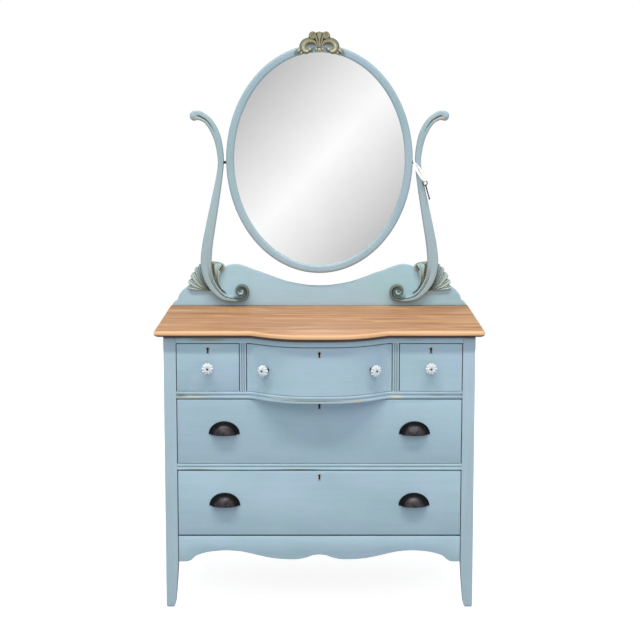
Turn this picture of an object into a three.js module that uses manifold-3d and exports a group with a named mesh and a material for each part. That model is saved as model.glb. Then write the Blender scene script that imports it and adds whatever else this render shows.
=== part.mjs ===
// A painted dresser with a tilting oval mirror on scrolled standards.
// Millimetres, +Z up. The drawers face -Y, and left and right are those of someone facing them.
// Until the last lines Y is counted back from the front face of the front posts.

import * as THREE from "three";
import { mergeVertices } from "three/addons/utils/BufferGeometryUtils.js";
import Module from "manifold-3d";

const wasm = await Module();
wasm.setup();

// Case
const CASE_WIDTH = 1010;
const CASE_DEPTH = 483;
const POST_SIZE = 40;
const FOOT_TAPER_HEIGHT = 156;
const FOOT_TIP_SIZE = 28;
const FOOT_ROUND = 9;
const DRAWERS_ABOVE_FLOOR = 246;
const LOWER_DRAWER_OPENING = 220;
const LOWER_RAIL_HEIGHT = 21;
const UPPER_DRAWER_OPENING = 217;
const UPPER_RAIL_HEIGHT = 24;
const SMALL_DRAWER_OPENING = 160;
const TOP_RAIL_HEIGHT = 24;
const RAIL_DEPTH = 50;
const BEAD_DEPTH = 2.5;
const DIVIDER_WIDTH = 21;
const DIVIDER_TO_MIDDLE = 247.5;
const DIVIDER_GROOVE = 3;
const FRAME_THICKNESS = 18;
const FRAME_MEMBER = 60;
const FRAME_SIDE_MEMBER = 40;
const END_FRAME_THICKNESS = 20;
const END_FRAME_SET_BACK = 2;
const END_PANEL_THICKNESS = 8;
const END_TOP_RAIL = 60;
const END_BOTTOM_RAIL = 70;
const END_BOTTOM_ABOVE_FLOOR = 186;
const PANEL_TONGUE = 6;
const GUIDE_HEIGHT = 20;
const BACK_PANEL_THICKNESS = 6;
const BACK_PANEL_ABOVE_FLOOR = 166;
const CLEAT_WIDTH = 60;
const SIDE_CLEAT_WIDTH = 25;

// Apron
const APRON_THICKNESS = 20;
const APRON_SET_BACK = 2;
const APRON_END_GAP = 2;
const APRON_TOP_GAP = 4;
const APRON_ABOVE_FLOOR = 156;
const APRON_ARCH_RISE = 38;
const APRON_EDGE_STEPS = 32;

// Top
const SLAB_THICKNESS = 20;
const SLAB_SIDE_OVERHANG = 28.5;
const SLAB_FRONT_OVERHANG = 25;
const SLAB_EDGE_ROUND = 6;
const SLAB_CORNER_ROUND = 12;
const BOW_DEPTH = 70;
const BOW_HALF_WIDTH = 225;
const BOW_FULLNESS = 3;
const BOW_FLARE = 1.3;
const BOW_STEPS = 18;

// Drawers
const FRONT_THICKNESS = 22;
const FRONT_SET_BACK = 1.5;
const FRONT_SIDE_GAP = 2.5;
const FRONT_TOP_GAP = 3;
const FRONT_BOTTOM_GAP = 1.5;
const DRAWER_SIDE = 12;
const DRAWER_BACK = 10;
const DRAWER_SIDE_DROP = 4;
const DRAWER_TO_BACK = 430;
const BOTTOM_THICKNESS = 6;
const BOTTOM_RAISED = 10;
const GROOVE_DEPTH = 6;
const RUNNER_GAP = 0.3;

// Locks
const LOCK_WIDTH = 56;
const LOCK_HEIGHT = 42;
const LOCK_DEPTH = 10;
const LOCK_PLATE_MARGIN = 7;
const LOCK_PLATE_THICKNESS = 2;
const LOCK_RECESS = 6;
const LOCK_PIN_RADIUS = 1.5;
const KEYHOLE_BELOW_TOP = 21;
const KEYHOLE_RADIUS = 4;
const KEYHOLE_SLOT = 4.6;
const KEYHOLE_HEIGHT = 18;

// Glass knobs
const KNOB_RADIUS = 19.5;
const KNOB_LENGTH = 32;
const KNOB_FLUTES = 10;
const KNOB_FLUTE_DEPTH = 1.6;
const KNOB_BOLT_RADIUS = 2.3;
const KNOB_BOLT_LENGTH = 26;
const BOLT_HOLE_CLEARANCE = 0.4;
const SMALL_KNOB_TO_MIDDLE = 361;
const CENTRE_KNOB_TO_MIDDLE = 170;

// Cup pulls
const PULL_WIDTH = 100;
const PULL_HEIGHT = 43;
const PULL_PROJECTION = 27;
const PULL_WALL = 2.4;
const PULL_FLANGE = 6;
const PULL_FLANGE_THICKNESS = 2.5;
const PULL_TO_MIDDLE = 310;
const PULL_ABOVE_DRAWER_MIDDLE = 13;

// Mirror board and battens
const BOARD_THICKNESS = 22;
const BOARD_SET_IN = 6.5;
const BOARD_HUMP_HEIGHT = 148;
const BOARD_EDGE_STEPS = 40;
const BATTEN_THICKNESS = 18;
const BATTEN_WIDTH = 45;
const BATTEN_BELOW_TOP = 320;
const BATTEN_ABOVE_TOP = 110;
const BATTEN_FROM_VOLUTE = 43;

// Standards
const STANDARD_THICKNESS = 24;
const STANDARD_WIDTH = 38;
const STANDARD_RISE = 658;
const STANDARD_REACH = 191;
const STANDARD_ABOVE_TOP = 26;
const VOLUTE_RADIUS = 28;
const VOLUTE_EYE_RADIUS = 7;
const VOLUTE_SET_IN = 22.4;
const VOLUTE_TURNS = 1.12;
const TIP_SCROLL_SIZE = [15.5, 13, 17.4];

// Leaf carvings at the foot of the standards
const LEAF_PLATE_THICKNESS = 5;
const LEAF_RELIEF = 11;
const LEAF_LOBE_WIDTH = 21;
const LEAF_WIDTH = 143;
const LEAF_HEIGHT = 113;
const LEAF_FROM_VOLUTE = 77;
const LEAF_ABOVE_TOP = 47;

// Mirror
const MIRROR_HALF_WIDTH = 328;
const MIRROR_HALF_HEIGHT = 402;
const MIRROR_ABOVE_TOP = 120;
const MIRROR_BAND = 27;
const MIRROR_FRAME_THICKNESS = 24;
const MIRROR_STEPS = 44;
const GLASS_THICKNESS = 5;
const GLASS_REBATE = 6;
const GLASS_EDGE_GAP = 0.8;
const BACKING_THICKNESS = 4;
const PIVOT_BELOW_CENTRE = 9;
const PIVOT_RADIUS = 3;
const PIVOT_CLEARANCE = 0.3;
const PIVOT_GAP = 8.9;
const PIVOT_COLLAR_RADIUS = 5.5;
const PIVOT_DEPTH = 15;

// Crest carving
const CREST_HALF_WIDTH = 90;
const CREST_HEIGHT = 83;
const CREST_ABOVE_FRAME = 44;
const CREST_PLATE_THICKNESS = 6;
const CREST_RELIEF = 10;

// Key and its ribbon
const RIBBON_DIAMETER = 2.6;
const RIBBON_SIDES = 8;
const RIBBON_STEPS = 36;
const KEY_LENGTH = 50;
const KEY_SHANK_RADIUS = 2.4;
const KEY_TIP_RADIUS = 3.6;
const KEY_BOW_RADIUS = 7.4;
const KEY_BOW_WIRE_RADIUS = 1.9;
const KEY_PLAY = 1.5;
const KEY_BIT_LENGTH = 9;
const KEY_BIT_WIDTH = 10;
const KEY_BIT_THICKNESS = 2.5;
const KEY_LEAN = 0.28;

// Pieces that seat on a cut or rounded face stay this far from it.
const SEAT_GAP = 0.3;
// Cutting tools run this far past what they cut.
const OVERRUN = 5;

// Worked-out heights, from the floor up
const lowerRailZ = DRAWERS_ABOVE_FLOOR + LOWER_DRAWER_OPENING;
const upperDrawerZ = lowerRailZ + LOWER_RAIL_HEIGHT;
const upperRailZ = upperDrawerZ + UPPER_DRAWER_OPENING;
const smallDrawerZ = upperRailZ + UPPER_RAIL_HEIGHT;
const topRailZ = smallDrawerZ + SMALL_DRAWER_OPENING;
const slabZ = topRailZ + TOP_RAIL_HEIGHT;
const topZ = slabZ + SLAB_THICKNESS;

// Worked-out places across and back
const halfCase = CASE_WIDTH / 2;
const halfBay = halfCase - POST_SIZE;
const rearPostY = CASE_DEPTH - POST_SIZE;
const backPanelY = CASE_DEPTH - BACK_PANEL_THICKNESS;
const boardY = CASE_DEPTH - BOARD_THICKNESS;
const standardY = boardY - STANDARD_THICKNESS;
const dividerInnerX = DIVIDER_TO_MIDDLE - DIVIDER_WIDTH / 2;
const dividerOuterX = DIVIDER_TO_MIDDLE + DIVIDER_WIDTH / 2;
const mirrorCentreZ = topZ + MIRROR_ABOVE_TOP + MIRROR_HALF_HEIGHT;
const mirrorFrontY = boardY - MIRROR_FRAME_THICKNESS;
const pivotY = boardY - STANDARD_THICKNESS / 2;
const pivotZ = mirrorCentreZ - PIVOT_BELOW_CENTRE;

const PAINT = { color: 0xa5bbc8, roughness: 0.75, metalness: 0 };
const TOP_WOOD = { color: 0xc08f60, roughness: 0.5, metalness: 0 };
const BARE_WOOD = { color: 0xc9a673, roughness: 0.7, metalness: 0 };
const CARVED = { color: 0x94896a, roughness: 0.6, metalness: 0 };
const CLEAR_GLASS = { color: 0xf0f4f5, roughness: 0.05, metalness: 0 };
const MIRROR_GLASS = { color: 0xe6e8ea, roughness: 0.03, metalness: 1 };
const BLACK_IRON = { color: 0x1c1c20, roughness: 0.45, metalness: 0.8 };
const OLD_BRASS = { color: 0x6e5c3c, roughness: 0.45, metalness: 0.9 };
const WHITE_RIBBON = { color: 0xf4f2ec, roughness: 0.9, metalness: 0 };

const dresser = new THREE.Group();

// Turns a closed geometry into a solid that can be joined and cut.
function asSolid(geometry) {
  geometry.deleteAttribute("normal");
  geometry.deleteAttribute("uv");
  const merged = mergeVertices(geometry);
  const place = merged.attributes.position.array;
  const index = merged.index.array;
  const corners = [];
  let volume = 0;
  for (let i = 0; i < index.length; i += 3) {
    const [p, q, r] = index.slice(i, i + 3);
    if (p === q || q === r || r === p) continue;
    corners.push(p, q, r);
    const [a, b, c] = [p, q, r].map((k) => new THREE.Vector3().fromArray(place, 3 * k));
    volume += a.dot(b.cross(c));
  }
  if (volume < 0) corners.reverse();
  const vertProperties = new Float32Array(place);
  const triVerts = new Uint32Array(corners);
  return new wasm.Manifold(new wasm.Mesh({ numProp: 3, vertProperties, triVerts }));
}

const join = (...solids) => solids.reduce((whole, solid) => whole.add(solid));
const cut = (solid, ...tools) => tools.reduce((rest, tool) => rest.subtract(tool), solid);

function add(name, solid, finish) {
  const { vertProperties, triVerts } = solid.getMesh();
  const geometry = new THREE.BufferGeometry();
  geometry.setAttribute("position", new THREE.BufferAttribute(vertProperties, 3));
  geometry.setIndex(new THREE.BufferAttribute(triVerts, 1));
  geometry.computeVertexNormals();
  const mesh = new THREE.Mesh(geometry, new THREE.MeshStandardMaterial(finish));
  mesh.name = name;
  dresser.add(mesh);
}

function block(x0, x1, y0, y1, z0, z1) {
  const box = new THREE.BoxGeometry(Math.abs(x1 - x0), y1 - y0, z1 - z0);
  box.translate((x0 + x1) / 2, (y0 + y1) / 2, (z0 + z1) / 2);
  return asSolid(box);
}

function rod(x0, x1, y, z, radius) {
  const cylinder = new THREE.CylinderGeometry(radius, radius, Math.abs(x1 - x0), 12);
  cylinder.rotateZ(Math.PI / 2);
  cylinder.translate((x0 + x1) / 2, y, z);
  return asSolid(cylinder);
}

const at = (u, v) => new THREE.Vector2(u, v);

function extrude(outline, depth) {
  return new THREE.ExtrudeGeometry(new THREE.Shape(outline), { depth, bevelEnabled: false });
}

// A board whose outline is drawn on the XZ plane, as seen from the front.
function frontPrism(outline, y0, y1) {
  const geometry = extrude(outline, y1 - y0);
  geometry.rotateX(Math.PI / 2);
  geometry.translate(0, y1, 0);
  return asSolid(geometry);
}

// A board whose outline is drawn on the XY plane, as seen from above.
function planPrism(outline, z0, z1) {
  const geometry = extrude(outline, z1 - z0);
  geometry.translate(0, 0, z0);
  return asSolid(geometry);
}

// A bar whose section is drawn on the YZ plane, as seen from the side.
function sidePrism(outline, x0, x1) {
  const geometry = extrude(outline, Math.abs(x1 - x0));
  geometry.rotateX(Math.PI / 2);
  geometry.rotateZ(Math.PI / 2);
  geometry.translate(Math.min(x0, x1), 0, 0);
  return asSolid(geometry);
}

// Skins a row of like rings. A flat section closes the two ends. With none, the last ring meets the first.
function loft(rings, section) {
  const count = rings[0].length;
  const spans = section ? rings.length - 1 : rings.length;
  const faces = [];
  for (let i = 0; i < spans; i++) {
    for (let k = 0; k < count; k++) {
      const near = i * count;
      const far = ((i + 1) % rings.length) * count;
      const next = (k + 1) % count;
      faces.push(near + k, near + next, far + k, near + next, far + next, far + k);
    }
  }
  if (section) {
    const last = (rings.length - 1) * count;
    const way = Math.sign(THREE.ShapeUtils.area(section));
    for (const triangle of THREE.ShapeUtils.triangulateShape(section, [])) {
      const area = THREE.ShapeUtils.area(triangle.map((k) => section[k]));
      const far = Math.sign(area) === way ? [...triangle] : [...triangle].reverse();
      faces.push(...far.map((k) => last + k), ...far.reverse());
    }
  }
  const geometry = new THREE.BufferGeometry();
  geometry.setAttribute("position", new THREE.Float32BufferAttribute(rings.flat(2), 3));
  geometry.setIndex(faces);
  return asSolid(geometry);
}

// Sections across a carved piece, as shares of its width and of its height off a flat back
const BEAD_SECTION_SHARES = [[-0.5, 0], [-0.4, 0.66], [0, 1], [0.4, 0.66], [0.5, 0]];
const BAR_SECTION_SHARES = [[-0.5, 0], [-0.5, 0.72], [-0.3, 1], [0.3, 1], [0.5, 0.72], [0.5, 0]];

// A carved piece that follows a line on the XZ plane, with its flat back at y = back.
function bead(line, back, sectionShares = BEAD_SECTION_SHARES, grow = 0) {
  const path = new THREE.CatmullRomCurve3(line.map((p) => new THREE.Vector3(p.x, 0, p.z)));
  const size = new THREE.CatmullRomCurve3(line.map((p) => new THREE.Vector3(p.width, p.height, 0)));
  const steps = 2 * (line.length - 1);
  const rings = [];
  for (let i = 0; i <= steps; i++) {
    const share = i / steps;
    const middle = path.getPoint(share);
    const along = path.getTangent(share);
    const { x: width, y: height } = size.getPoint(share);
    rings.push(sectionShares.map(([across, forward]) => [
      middle.x + along.z * across * (width + 2 * grow),
      back - forward * (height + grow),
      middle.z - along.x * across * (width + 2 * grow),
    ]));
  }
  return loft(rings, sectionShares.map(([across, forward]) => at(across, forward)));
}

function ellipsoid(x, y, z, a, b, c, around = 8, down = 4) {
  const ball = new THREE.SphereGeometry(1, around, down);
  ball.scale(a, b, c);
  ball.translate(x, y, z);
  return asSolid(ball);
}

// The bow of the top and of what stands under it, counted forward of the flat front.
function bowAt(x) {
  const share = Math.min(Math.abs(x) / BOW_HALF_WIDTH, 1);
  return BOW_DEPTH * (1 - share ** BOW_FULLNESS) ** BOW_FLARE;
}

function bowPlaces(halfWidth) {
  const places = [];
  const end = Math.min(halfWidth, BOW_HALF_WIDTH);
  for (let i = 0; i <= BOW_STEPS; i++) places.push(end * (2 * i / BOW_STEPS - 1));
  return end < halfWidth ? [-halfWidth, ...places, halfWidth] : places;
}

const leftAndRight = [["left", -1], ["right", 1]];

// Posts: square above, tapered on the two inner faces below, with rounded foot ends.
function footOutline(top) {
  const shape = new THREE.Shape();
  shape.moveTo(0, top);
  shape.lineTo(0, FOOT_ROUND);
  shape.quadraticCurveTo(0, 0, FOOT_ROUND, 0);
  shape.lineTo(FOOT_TIP_SIZE - FOOT_ROUND, 0);
  shape.quadraticCurveTo(FOOT_TIP_SIZE, 0, FOOT_TIP_SIZE + FOOT_ROUND / 4, 2 * FOOT_ROUND);
  const waist = (FOOT_TIP_SIZE + POST_SIZE) / 2 + FOOT_ROUND / 4;
  shape.quadraticCurveTo(waist, FOOT_TAPER_HEIGHT / 2, POST_SIZE, FOOT_TAPER_HEIGHT);
  shape.lineTo(POST_SIZE, top);
  return shape.getPoints(5);
}

for (const [name, way] of leftAndRight) {
  const outline = footOutline(slabZ);
  const seenFromFront = outline.map((p) => at(way * (halfCase - p.x), p.y));
  const frontProfile = outline.map((p) => at(p.x, p.y));
  const rearProfile = outline.map((p) => at(CASE_DEPTH - p.x, p.y));
  const inner = way * (halfBay - OVERRUN);
  const outer = way * (halfCase + OVERRUN);
  const front = frontPrism(seenFromFront, -OVERRUN, POST_SIZE + OVERRUN);
  const rear = frontPrism(seenFromFront, rearPostY - OVERRUN, CASE_DEPTH + OVERRUN);
  add(`front_post_${name}`, front.intersect(sidePrism(frontProfile, inner, outer)), PAINT);
  add(`rear_post_${name}`, rear.intersect(sidePrism(rearProfile, inner, outer)), PAINT);
}

// Ends: two rails with a thin panel let into them, and the guides that keep the drawers straight.
const endInnerX = halfCase - END_FRAME_SET_BACK - END_FRAME_THICKNESS;
const endOuterX = halfCase - END_FRAME_SET_BACK;
const endPanelX = (endInnerX + endOuterX - END_PANEL_THICKNESS) / 2;
for (const [name, way] of leftAndRight) {
  const y = [POST_SIZE, rearPostY];
  const railX = [way * endInnerX, way * endOuterX];
  const bottomRailTop = END_BOTTOM_ABOVE_FLOOR + END_BOTTOM_RAIL;
  const panelX = [way * endPanelX, way * (endPanelX + END_PANEL_THICKNESS)];
  const guides = [DRAWERS_ABOVE_FLOOR, upperDrawerZ, smallDrawerZ].map((z) =>
    block(way * halfBay, way * (endPanelX + END_PANEL_THICKNESS / 2), ...y, z, z + GUIDE_HEIGHT));
  add(`end_panel_${name}`, join(
    block(...railX, ...y, slabZ - END_TOP_RAIL, slabZ),
    block(...railX, ...y, END_BOTTOM_ABOVE_FLOOR, bottomRailTop),
    block(...panelX, ...y, bottomRailTop - PANEL_TONGUE, slabZ - END_TOP_RAIL + PANEL_TONGUE),
    ...guides,
  ), PAINT);
}

const backPanel = block(-halfBay, halfBay, backPanelY, CASE_DEPTH, BACK_PANEL_ABOVE_FLOOR, slabZ);
add("back_panel", backPanel, BARE_WOOD);

// Front rails. The two upper ones follow the bow of the top, and those between drawers carry two beads.
function bowedPlan(halfWidth, front, back, follow) {
  const places = bowPlaces(halfWidth);
  const nearEdge = places.map((x) => at(x, front - bowAt(x)));
  const farEdge = places.map((x) => at(x, follow ? back - bowAt(x) : back)).reverse();
  return [...nearEdge, ...(follow ? farEdge : [farEdge[0], farEdge[farEdge.length - 1]])];
}

const RAIL_BEAD_SHARES = [
  [1, 0], [0.2, 0.06], [0, 0.2], [0.15, 0.38], [1, 0.46],
  [1, 0.54], [0.15, 0.62], [0, 0.8], [0.2, 0.94], [1, 1],
];

function railSection(z, height) {
  const face = RAIL_BEAD_SHARES.map(([back, up]) => at(back * BEAD_DEPTH, z + up * height));
  return [...face, at(RAIL_DEPTH, z + height), at(RAIL_DEPTH, z)];
}

add("top_rail", planPrism(bowedPlan(halfBay, 0, RAIL_DEPTH, false), topRailZ, slabZ), PAINT);

const upperRailSection = railSection(upperRailZ, UPPER_RAIL_HEIGHT);
const upperRailRings = bowPlaces(halfBay).map((x) =>
  upperRailSection.map((p) => [x, p.x < RAIL_DEPTH ? p.x - bowAt(x) : RAIL_DEPTH, p.y]));
add("upper_drawer_rail", loft(upperRailRings, upperRailSection), PAINT);

add("lower_drawer_rail", sidePrism(railSection(lowerRailZ, LOWER_RAIL_HEIGHT), -halfBay, halfBay), PAINT);

// Apron: one half of its lower edge, out from the middle
const APRON_EDGE_SHARES = [
  [0, 0.63], [0.05, 0.55], [0.088, 0.37], [0.145, 0.22], [0.2, 0.19], [0.315, 0.27], [0.43, 0.55],
  [0.545, 0.88], [0.655, 1], [0.745, 0.93], [0.8, 0.83], [0.857, 0.63], [0.886, 0.45], [0.913, 0.13],
  [0.945, 0], [1, 0],
];

// Points of a smooth curve through one half of an outline, then the same mirrored.
function mirroredEdge(halfShares, steps, place) {
  const half = new THREE.SplineCurve(halfShares.map(([u, v]) => at(u, v))).getPoints(steps);
  const right = half.map((p) => place(p.x, p.y));
  const left = half.slice(1).map((p) => place(-p.x, p.y));
  return [...left.reverse(), ...right];
}

const apronHalf = halfBay - APRON_END_GAP;
const apronTopZ = DRAWERS_ABOVE_FLOOR - APRON_TOP_GAP;
const apronEdge = mirroredEdge(APRON_EDGE_SHARES, APRON_EDGE_STEPS, (u, v) =>
  at(u * apronHalf, APRON_ABOVE_FLOOR + v * APRON_ARCH_RISE));
const apronOutline = [...apronEdge, at(apronHalf, apronTopZ), at(-apronHalf, apronTopZ)];
add("apron", frontPrism(apronOutline, APRON_SET_BACK, APRON_SET_BACK + APRON_THICKNESS), PAINT);

// Runner frames: two end runners and a rear rail, with more runners where drawers meet.
function runnerFrame(topOfFrame, front, hasFrontMember, middleRunners) {
  const z = [topOfFrame - FRAME_THICKNESS, topOfFrame];
  const members = [block(-halfBay, halfBay, backPanelY - FRAME_MEMBER, backPanelY, ...z)];
  const runnerY = [front, backPanelY - OVERRUN];
  const betweenPosts = [Math.max(front, POST_SIZE), rearPostY];
  for (const [, way] of leftAndRight) {
    members.push(
      block(way * (halfBay - FRAME_SIDE_MEMBER), way * halfBay, ...runnerY, ...z),
      block(way * (halfBay - OVERRUN), way * endInnerX, ...betweenPosts, ...z),
      ...middleRunners.map((x) =>
        block(way * (x - CLEAT_WIDTH / 2), way * (x + CLEAT_WIDTH / 2), ...runnerY, ...z)),
    );
  }
  if (hasFrontMember) members.push(block(-halfBay, halfBay, front, front + FRAME_MEMBER, ...z));
  return join(...members);
}

const apronBackY = APRON_SET_BACK + APRON_THICKNESS;
add("runner_frame_upper", runnerFrame(smallDrawerZ, RAIL_DEPTH, false, [DIVIDER_TO_MIDDLE]), BARE_WOOD);
add("runner_frame_middle", runnerFrame(upperDrawerZ, RAIL_DEPTH, false, []), BARE_WOOD);
add("runner_frame_bottom", runnerFrame(DRAWERS_ABOVE_FLOOR, apronBackY, true, []), BARE_WOOD);

// Partitions between the top drawers, with two grooves down the front edge
for (const [name, way] of leftAndRight) {
  const groove = (share) => {
    const x = dividerInnerX + DIVIDER_WIDTH * share;
    return [at(x - DIVIDER_GROOVE / 2, 0), at(x, DIVIDER_GROOVE), at(x + DIVIDER_GROOVE / 2, 0)];
  };
  const plan = [
    at(dividerInnerX, 0), ...groove(1 / 3), ...groove(2 / 3), at(dividerOuterX, 0),
    at(dividerOuterX, backPanelY), at(dividerInnerX, backPanelY),
  ].map((p) => at(way * p.x, p.y));
  add(`divider_${name}`, planPrism(plan, smallDrawerZ, topRailZ), PAINT);
}

// Top: bullnosed board with a bowed front, and the cleats under it that keep the drawers level
const slabHalf = halfCase + SLAB_SIDE_OVERHANG;
const slabFrontY = -SLAB_FRONT_OVERHANG;
function slabOutline() {
  const shape = new THREE.Shape();
  shape.moveTo(-slabHalf, CASE_DEPTH + 2 * SLAB_EDGE_ROUND);
  shape.lineTo(-slabHalf, slabFrontY + SLAB_CORNER_ROUND);
  shape.quadraticCurveTo(-slabHalf, slabFrontY, SLAB_CORNER_ROUND - slabHalf, slabFrontY);
  for (const x of bowPlaces(BOW_HALF_WIDTH)) shape.lineTo(x, slabFrontY - bowAt(x));
  shape.lineTo(slabHalf - SLAB_CORNER_ROUND, slabFrontY);
  shape.quadraticCurveTo(slabHalf, slabFrontY, slabHalf, slabFrontY + SLAB_CORNER_ROUND);
  shape.lineTo(slabHalf, CASE_DEPTH + 2 * SLAB_EDGE_ROUND);
  return shape.getPoints(4);
}

const slabGeometry = new THREE.ExtrudeGeometry(new THREE.Shape(slabOutline()), {
  depth: SLAB_THICKNESS - 2 * SLAB_EDGE_ROUND,
  bevelThickness: SLAB_EDGE_ROUND,
  bevelSize: SLAB_EDGE_ROUND,
  bevelOffset: -SLAB_EDGE_ROUND,
  bevelSegments: 3,
});
slabGeometry.translate(0, 0, slabZ + SLAB_EDGE_ROUND);
const slabReach = slabHalf + OVERRUN;
const behindSlab = block(
  -slabReach, slabReach, CASE_DEPTH, CASE_DEPTH + SLAB_CORNER_ROUND + OVERRUN,
  slabZ - OVERRUN, topZ + OVERRUN,
);
const cleats = leftAndRight.flatMap(([, way]) => [
  [way * (halfBay - SIDE_CLEAT_WIDTH), way * halfBay],
  [way * (DIVIDER_TO_MIDDLE - CLEAT_WIDTH / 2), way * (DIVIDER_TO_MIDDLE + CLEAT_WIDTH / 2)],
].map((x) => block(...x, RAIL_DEPTH, rearPostY, topRailZ, slabZ + SLAB_THICKNESS / 2)));
add("top_slab", join(cut(asSolid(slabGeometry), behindSlab), ...cleats), TOP_WOOD);

// Drawers
function keyholeOutline(x, z) {
  const points = [];
  const half = KEYHOLE_SLOT / 2;
  const start = Math.asin(half / KEYHOLE_RADIUS);
  const centreZ = z + KEYHOLE_HEIGHT / 2 - KEYHOLE_RADIUS;
  const turn = 2 * Math.PI - 2 * start;
  const steps = 10;
  for (let i = 0; i <= steps; i++) {
    const angle = start + turn * i / steps;
    points.push(at(x - KEYHOLE_RADIUS * Math.sin(angle), centreZ - KEYHOLE_RADIUS * Math.cos(angle)));
  }
  return [...points, at(x + half, z - KEYHOLE_HEIGHT / 2), at(x - half, z - KEYHOLE_HEIGHT / 2)];
}

function drawer(name, x0, x1, z0, opening, bowed, knobPlaces) {
  const middle = (x0 + x1) / 2;
  const left = x0 + FRONT_SIDE_GAP;
  const right = x1 - FRONT_SIDE_GAP;
  const top = z0 + opening - FRONT_TOP_GAP;
  const bottom = z0 + FRONT_BOTTOM_GAP;
  const frontY = FRONT_SET_BACK;
  const insideY = frontY + FRONT_THICKNESS;
  const bow = (x) => (bowed ? bowAt(x) : 0);

  const plan = bowed
    ? bowedPlan(right, frontY, insideY, true)
    : [at(left, frontY), at(right, frontY), at(right, insideY), at(left, insideY)];
  const lockY = insideY - LOCK_DEPTH - bow(middle);
  const keyholeZ = top - KEYHOLE_BELOW_TOP;
  const halfLock = LOCK_WIDTH / 2;
  const lockBottom = top - LOCK_HEIGHT;
  const pocket = block(
    middle - halfLock - SEAT_GAP, middle + halfLock + SEAT_GAP,
    lockY - SEAT_GAP, insideY + OVERRUN, lockBottom - SEAT_GAP, top + OVERRUN,
  );
  const keyhole = keyholeOutline(middle, keyholeZ);
  const keyway = frontPrism(keyhole, frontY - bow(middle) - OVERRUN, lockY + OVERRUN);
  const boltHoles = knobPlaces.map((x) => {
    const radius = KNOB_BOLT_RADIUS + BOLT_HOLE_CLEARANCE;
    return standOnFront(bolt(radius, -2 * FRONT_THICKNESS, OVERRUN), x, z0 + opening / 2, bowed);
  });
  add(`${name}_front`, cut(planPrism(plan, bottom, top), pocket, keyway, ...boltHoles), PAINT);

  const plateY = insideY - bow(halfLock + LOCK_PLATE_MARGIN) + SEAT_GAP;
  const lock = join(
    block(middle - halfLock, middle + halfLock, lockY, plateY + LOCK_PLATE_THICKNESS, lockBottom, top),
    block(
      middle - halfLock - LOCK_PLATE_MARGIN, middle + halfLock + LOCK_PLATE_MARGIN,
      plateY, plateY + LOCK_PLATE_THICKNESS, lockBottom - LOCK_PLATE_MARGIN, top,
    ),
  );
  const pin = asSolid(new THREE.CylinderGeometry(LOCK_PIN_RADIUS, LOCK_PIN_RADIUS, LOCK_RECESS, 8)
    .translate(middle, lockY + LOCK_RECESS / 2 + SEAT_GAP, keyholeZ + KEYHOLE_HEIGHT / 2 - KEYHOLE_RADIUS));
  const recess = frontPrism(keyhole, lockY - OVERRUN, lockY + LOCK_RECESS);
  add(`${name}_lock`, join(cut(lock, recess), pin), OLD_BRASS);

  const sideTop = top - DRAWER_SIDE_DROP;
  const sideBottom = z0 + RUNNER_GAP;
  const panelZ = sideBottom + BOTTOM_RAISED;
  const panelTop = panelZ + BOTTOM_THICKNESS;
  const grooveZ = [panelZ - SEAT_GAP, panelTop + SEAT_GAP];
  const y = [insideY, DRAWER_TO_BACK];
  const sides = [[left, left + DRAWER_SIDE], [right - DRAWER_SIDE, right]].map((x) =>
    block(...x, ...y, sideBottom, sideTop));
  const backY = [DRAWER_TO_BACK - DRAWER_BACK, DRAWER_TO_BACK];
  const back = block(left, right, ...backY, panelTop + SEAT_GAP, sideTop);
  const reach = DRAWER_SIDE - GROOVE_DEPTH;
  const grooveY = [insideY - OVERRUN, DRAWER_TO_BACK + OVERRUN];
  const grooves = block(left + reach, right - reach, ...grooveY, ...grooveZ);
  add(`${name}_carcase`, cut(join(...sides, back), grooves), BARE_WOOD);

  const panelLeft = left + reach + SEAT_GAP;
  const panelRight = right - reach - SEAT_GAP;
  const panelFront = insideY + SEAT_GAP;
  const panelPlan = bowed
    ? bowedPlan(panelRight, panelFront, DRAWER_TO_BACK, false)
    : [at(panelLeft, panelFront), at(panelRight, panelFront),
      at(panelRight, DRAWER_TO_BACK), at(panelLeft, DRAWER_TO_BACK)];
  add(`${name}_bottom`, planPrism(panelPlan, panelZ, panelTop), BARE_WOOD);

  for (const [place, x] of knobPlaces.entries()) {
    const suffix = knobPlaces.length > 1 ? `_${leftAndRight[place][0]}` : "";
    add(`${name}_knob${suffix}`, standOnFront(knob(), x, z0 + opening / 2, bowed), CLEAR_GLASS);
  }
}

// Knobs stand along +Z here, off a drawer face at z = 0, until they are put in place.
function bolt(radius, z0, z1) {
  const cylinder = new THREE.CylinderGeometry(radius, radius, z1 - z0, 10);
  cylinder.rotateX(Math.PI / 2);
  cylinder.translate(0, 0, (z0 + z1) / 2);
  return cylinder;
}

const KNOB_PROFILE_SHARES = [
  [0.5, 0], [0.38, 0.14], [0.42, 0.36], [1, 0.64], [1, 0.78], [0.8, 0.92], [0.3, 1], [0, 1],
];

function knob() {
  const profile = [
    at(0, -KNOB_BOLT_LENGTH), at(KNOB_BOLT_RADIUS, -KNOB_BOLT_LENGTH), at(KNOB_BOLT_RADIUS, 0),
    ...KNOB_PROFILE_SHARES.map(([out, along]) => at(out * KNOB_RADIUS, along * KNOB_LENGTH)),
  ];
  const turned = new THREE.LatheGeometry(profile, 2 * KNOB_FLUTES);
  const place = turned.attributes.position;
  for (let i = 0; i < place.count; i++) {
    const out = Math.hypot(place.getX(i), place.getZ(i));
    if (out < KNOB_RADIUS / 2 + SEAT_GAP) continue;
    const angle = Math.atan2(place.getX(i), place.getZ(i));
    const scale = 1 - (KNOB_FLUTE_DEPTH / KNOB_RADIUS) * (0.5 - 0.5 * Math.cos(KNOB_FLUTES * angle));
    place.setX(i, place.getX(i) * scale);
    place.setZ(i, place.getZ(i) * scale);
  }
  turned.rotateX(Math.PI / 2);
  return turned;
}

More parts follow.
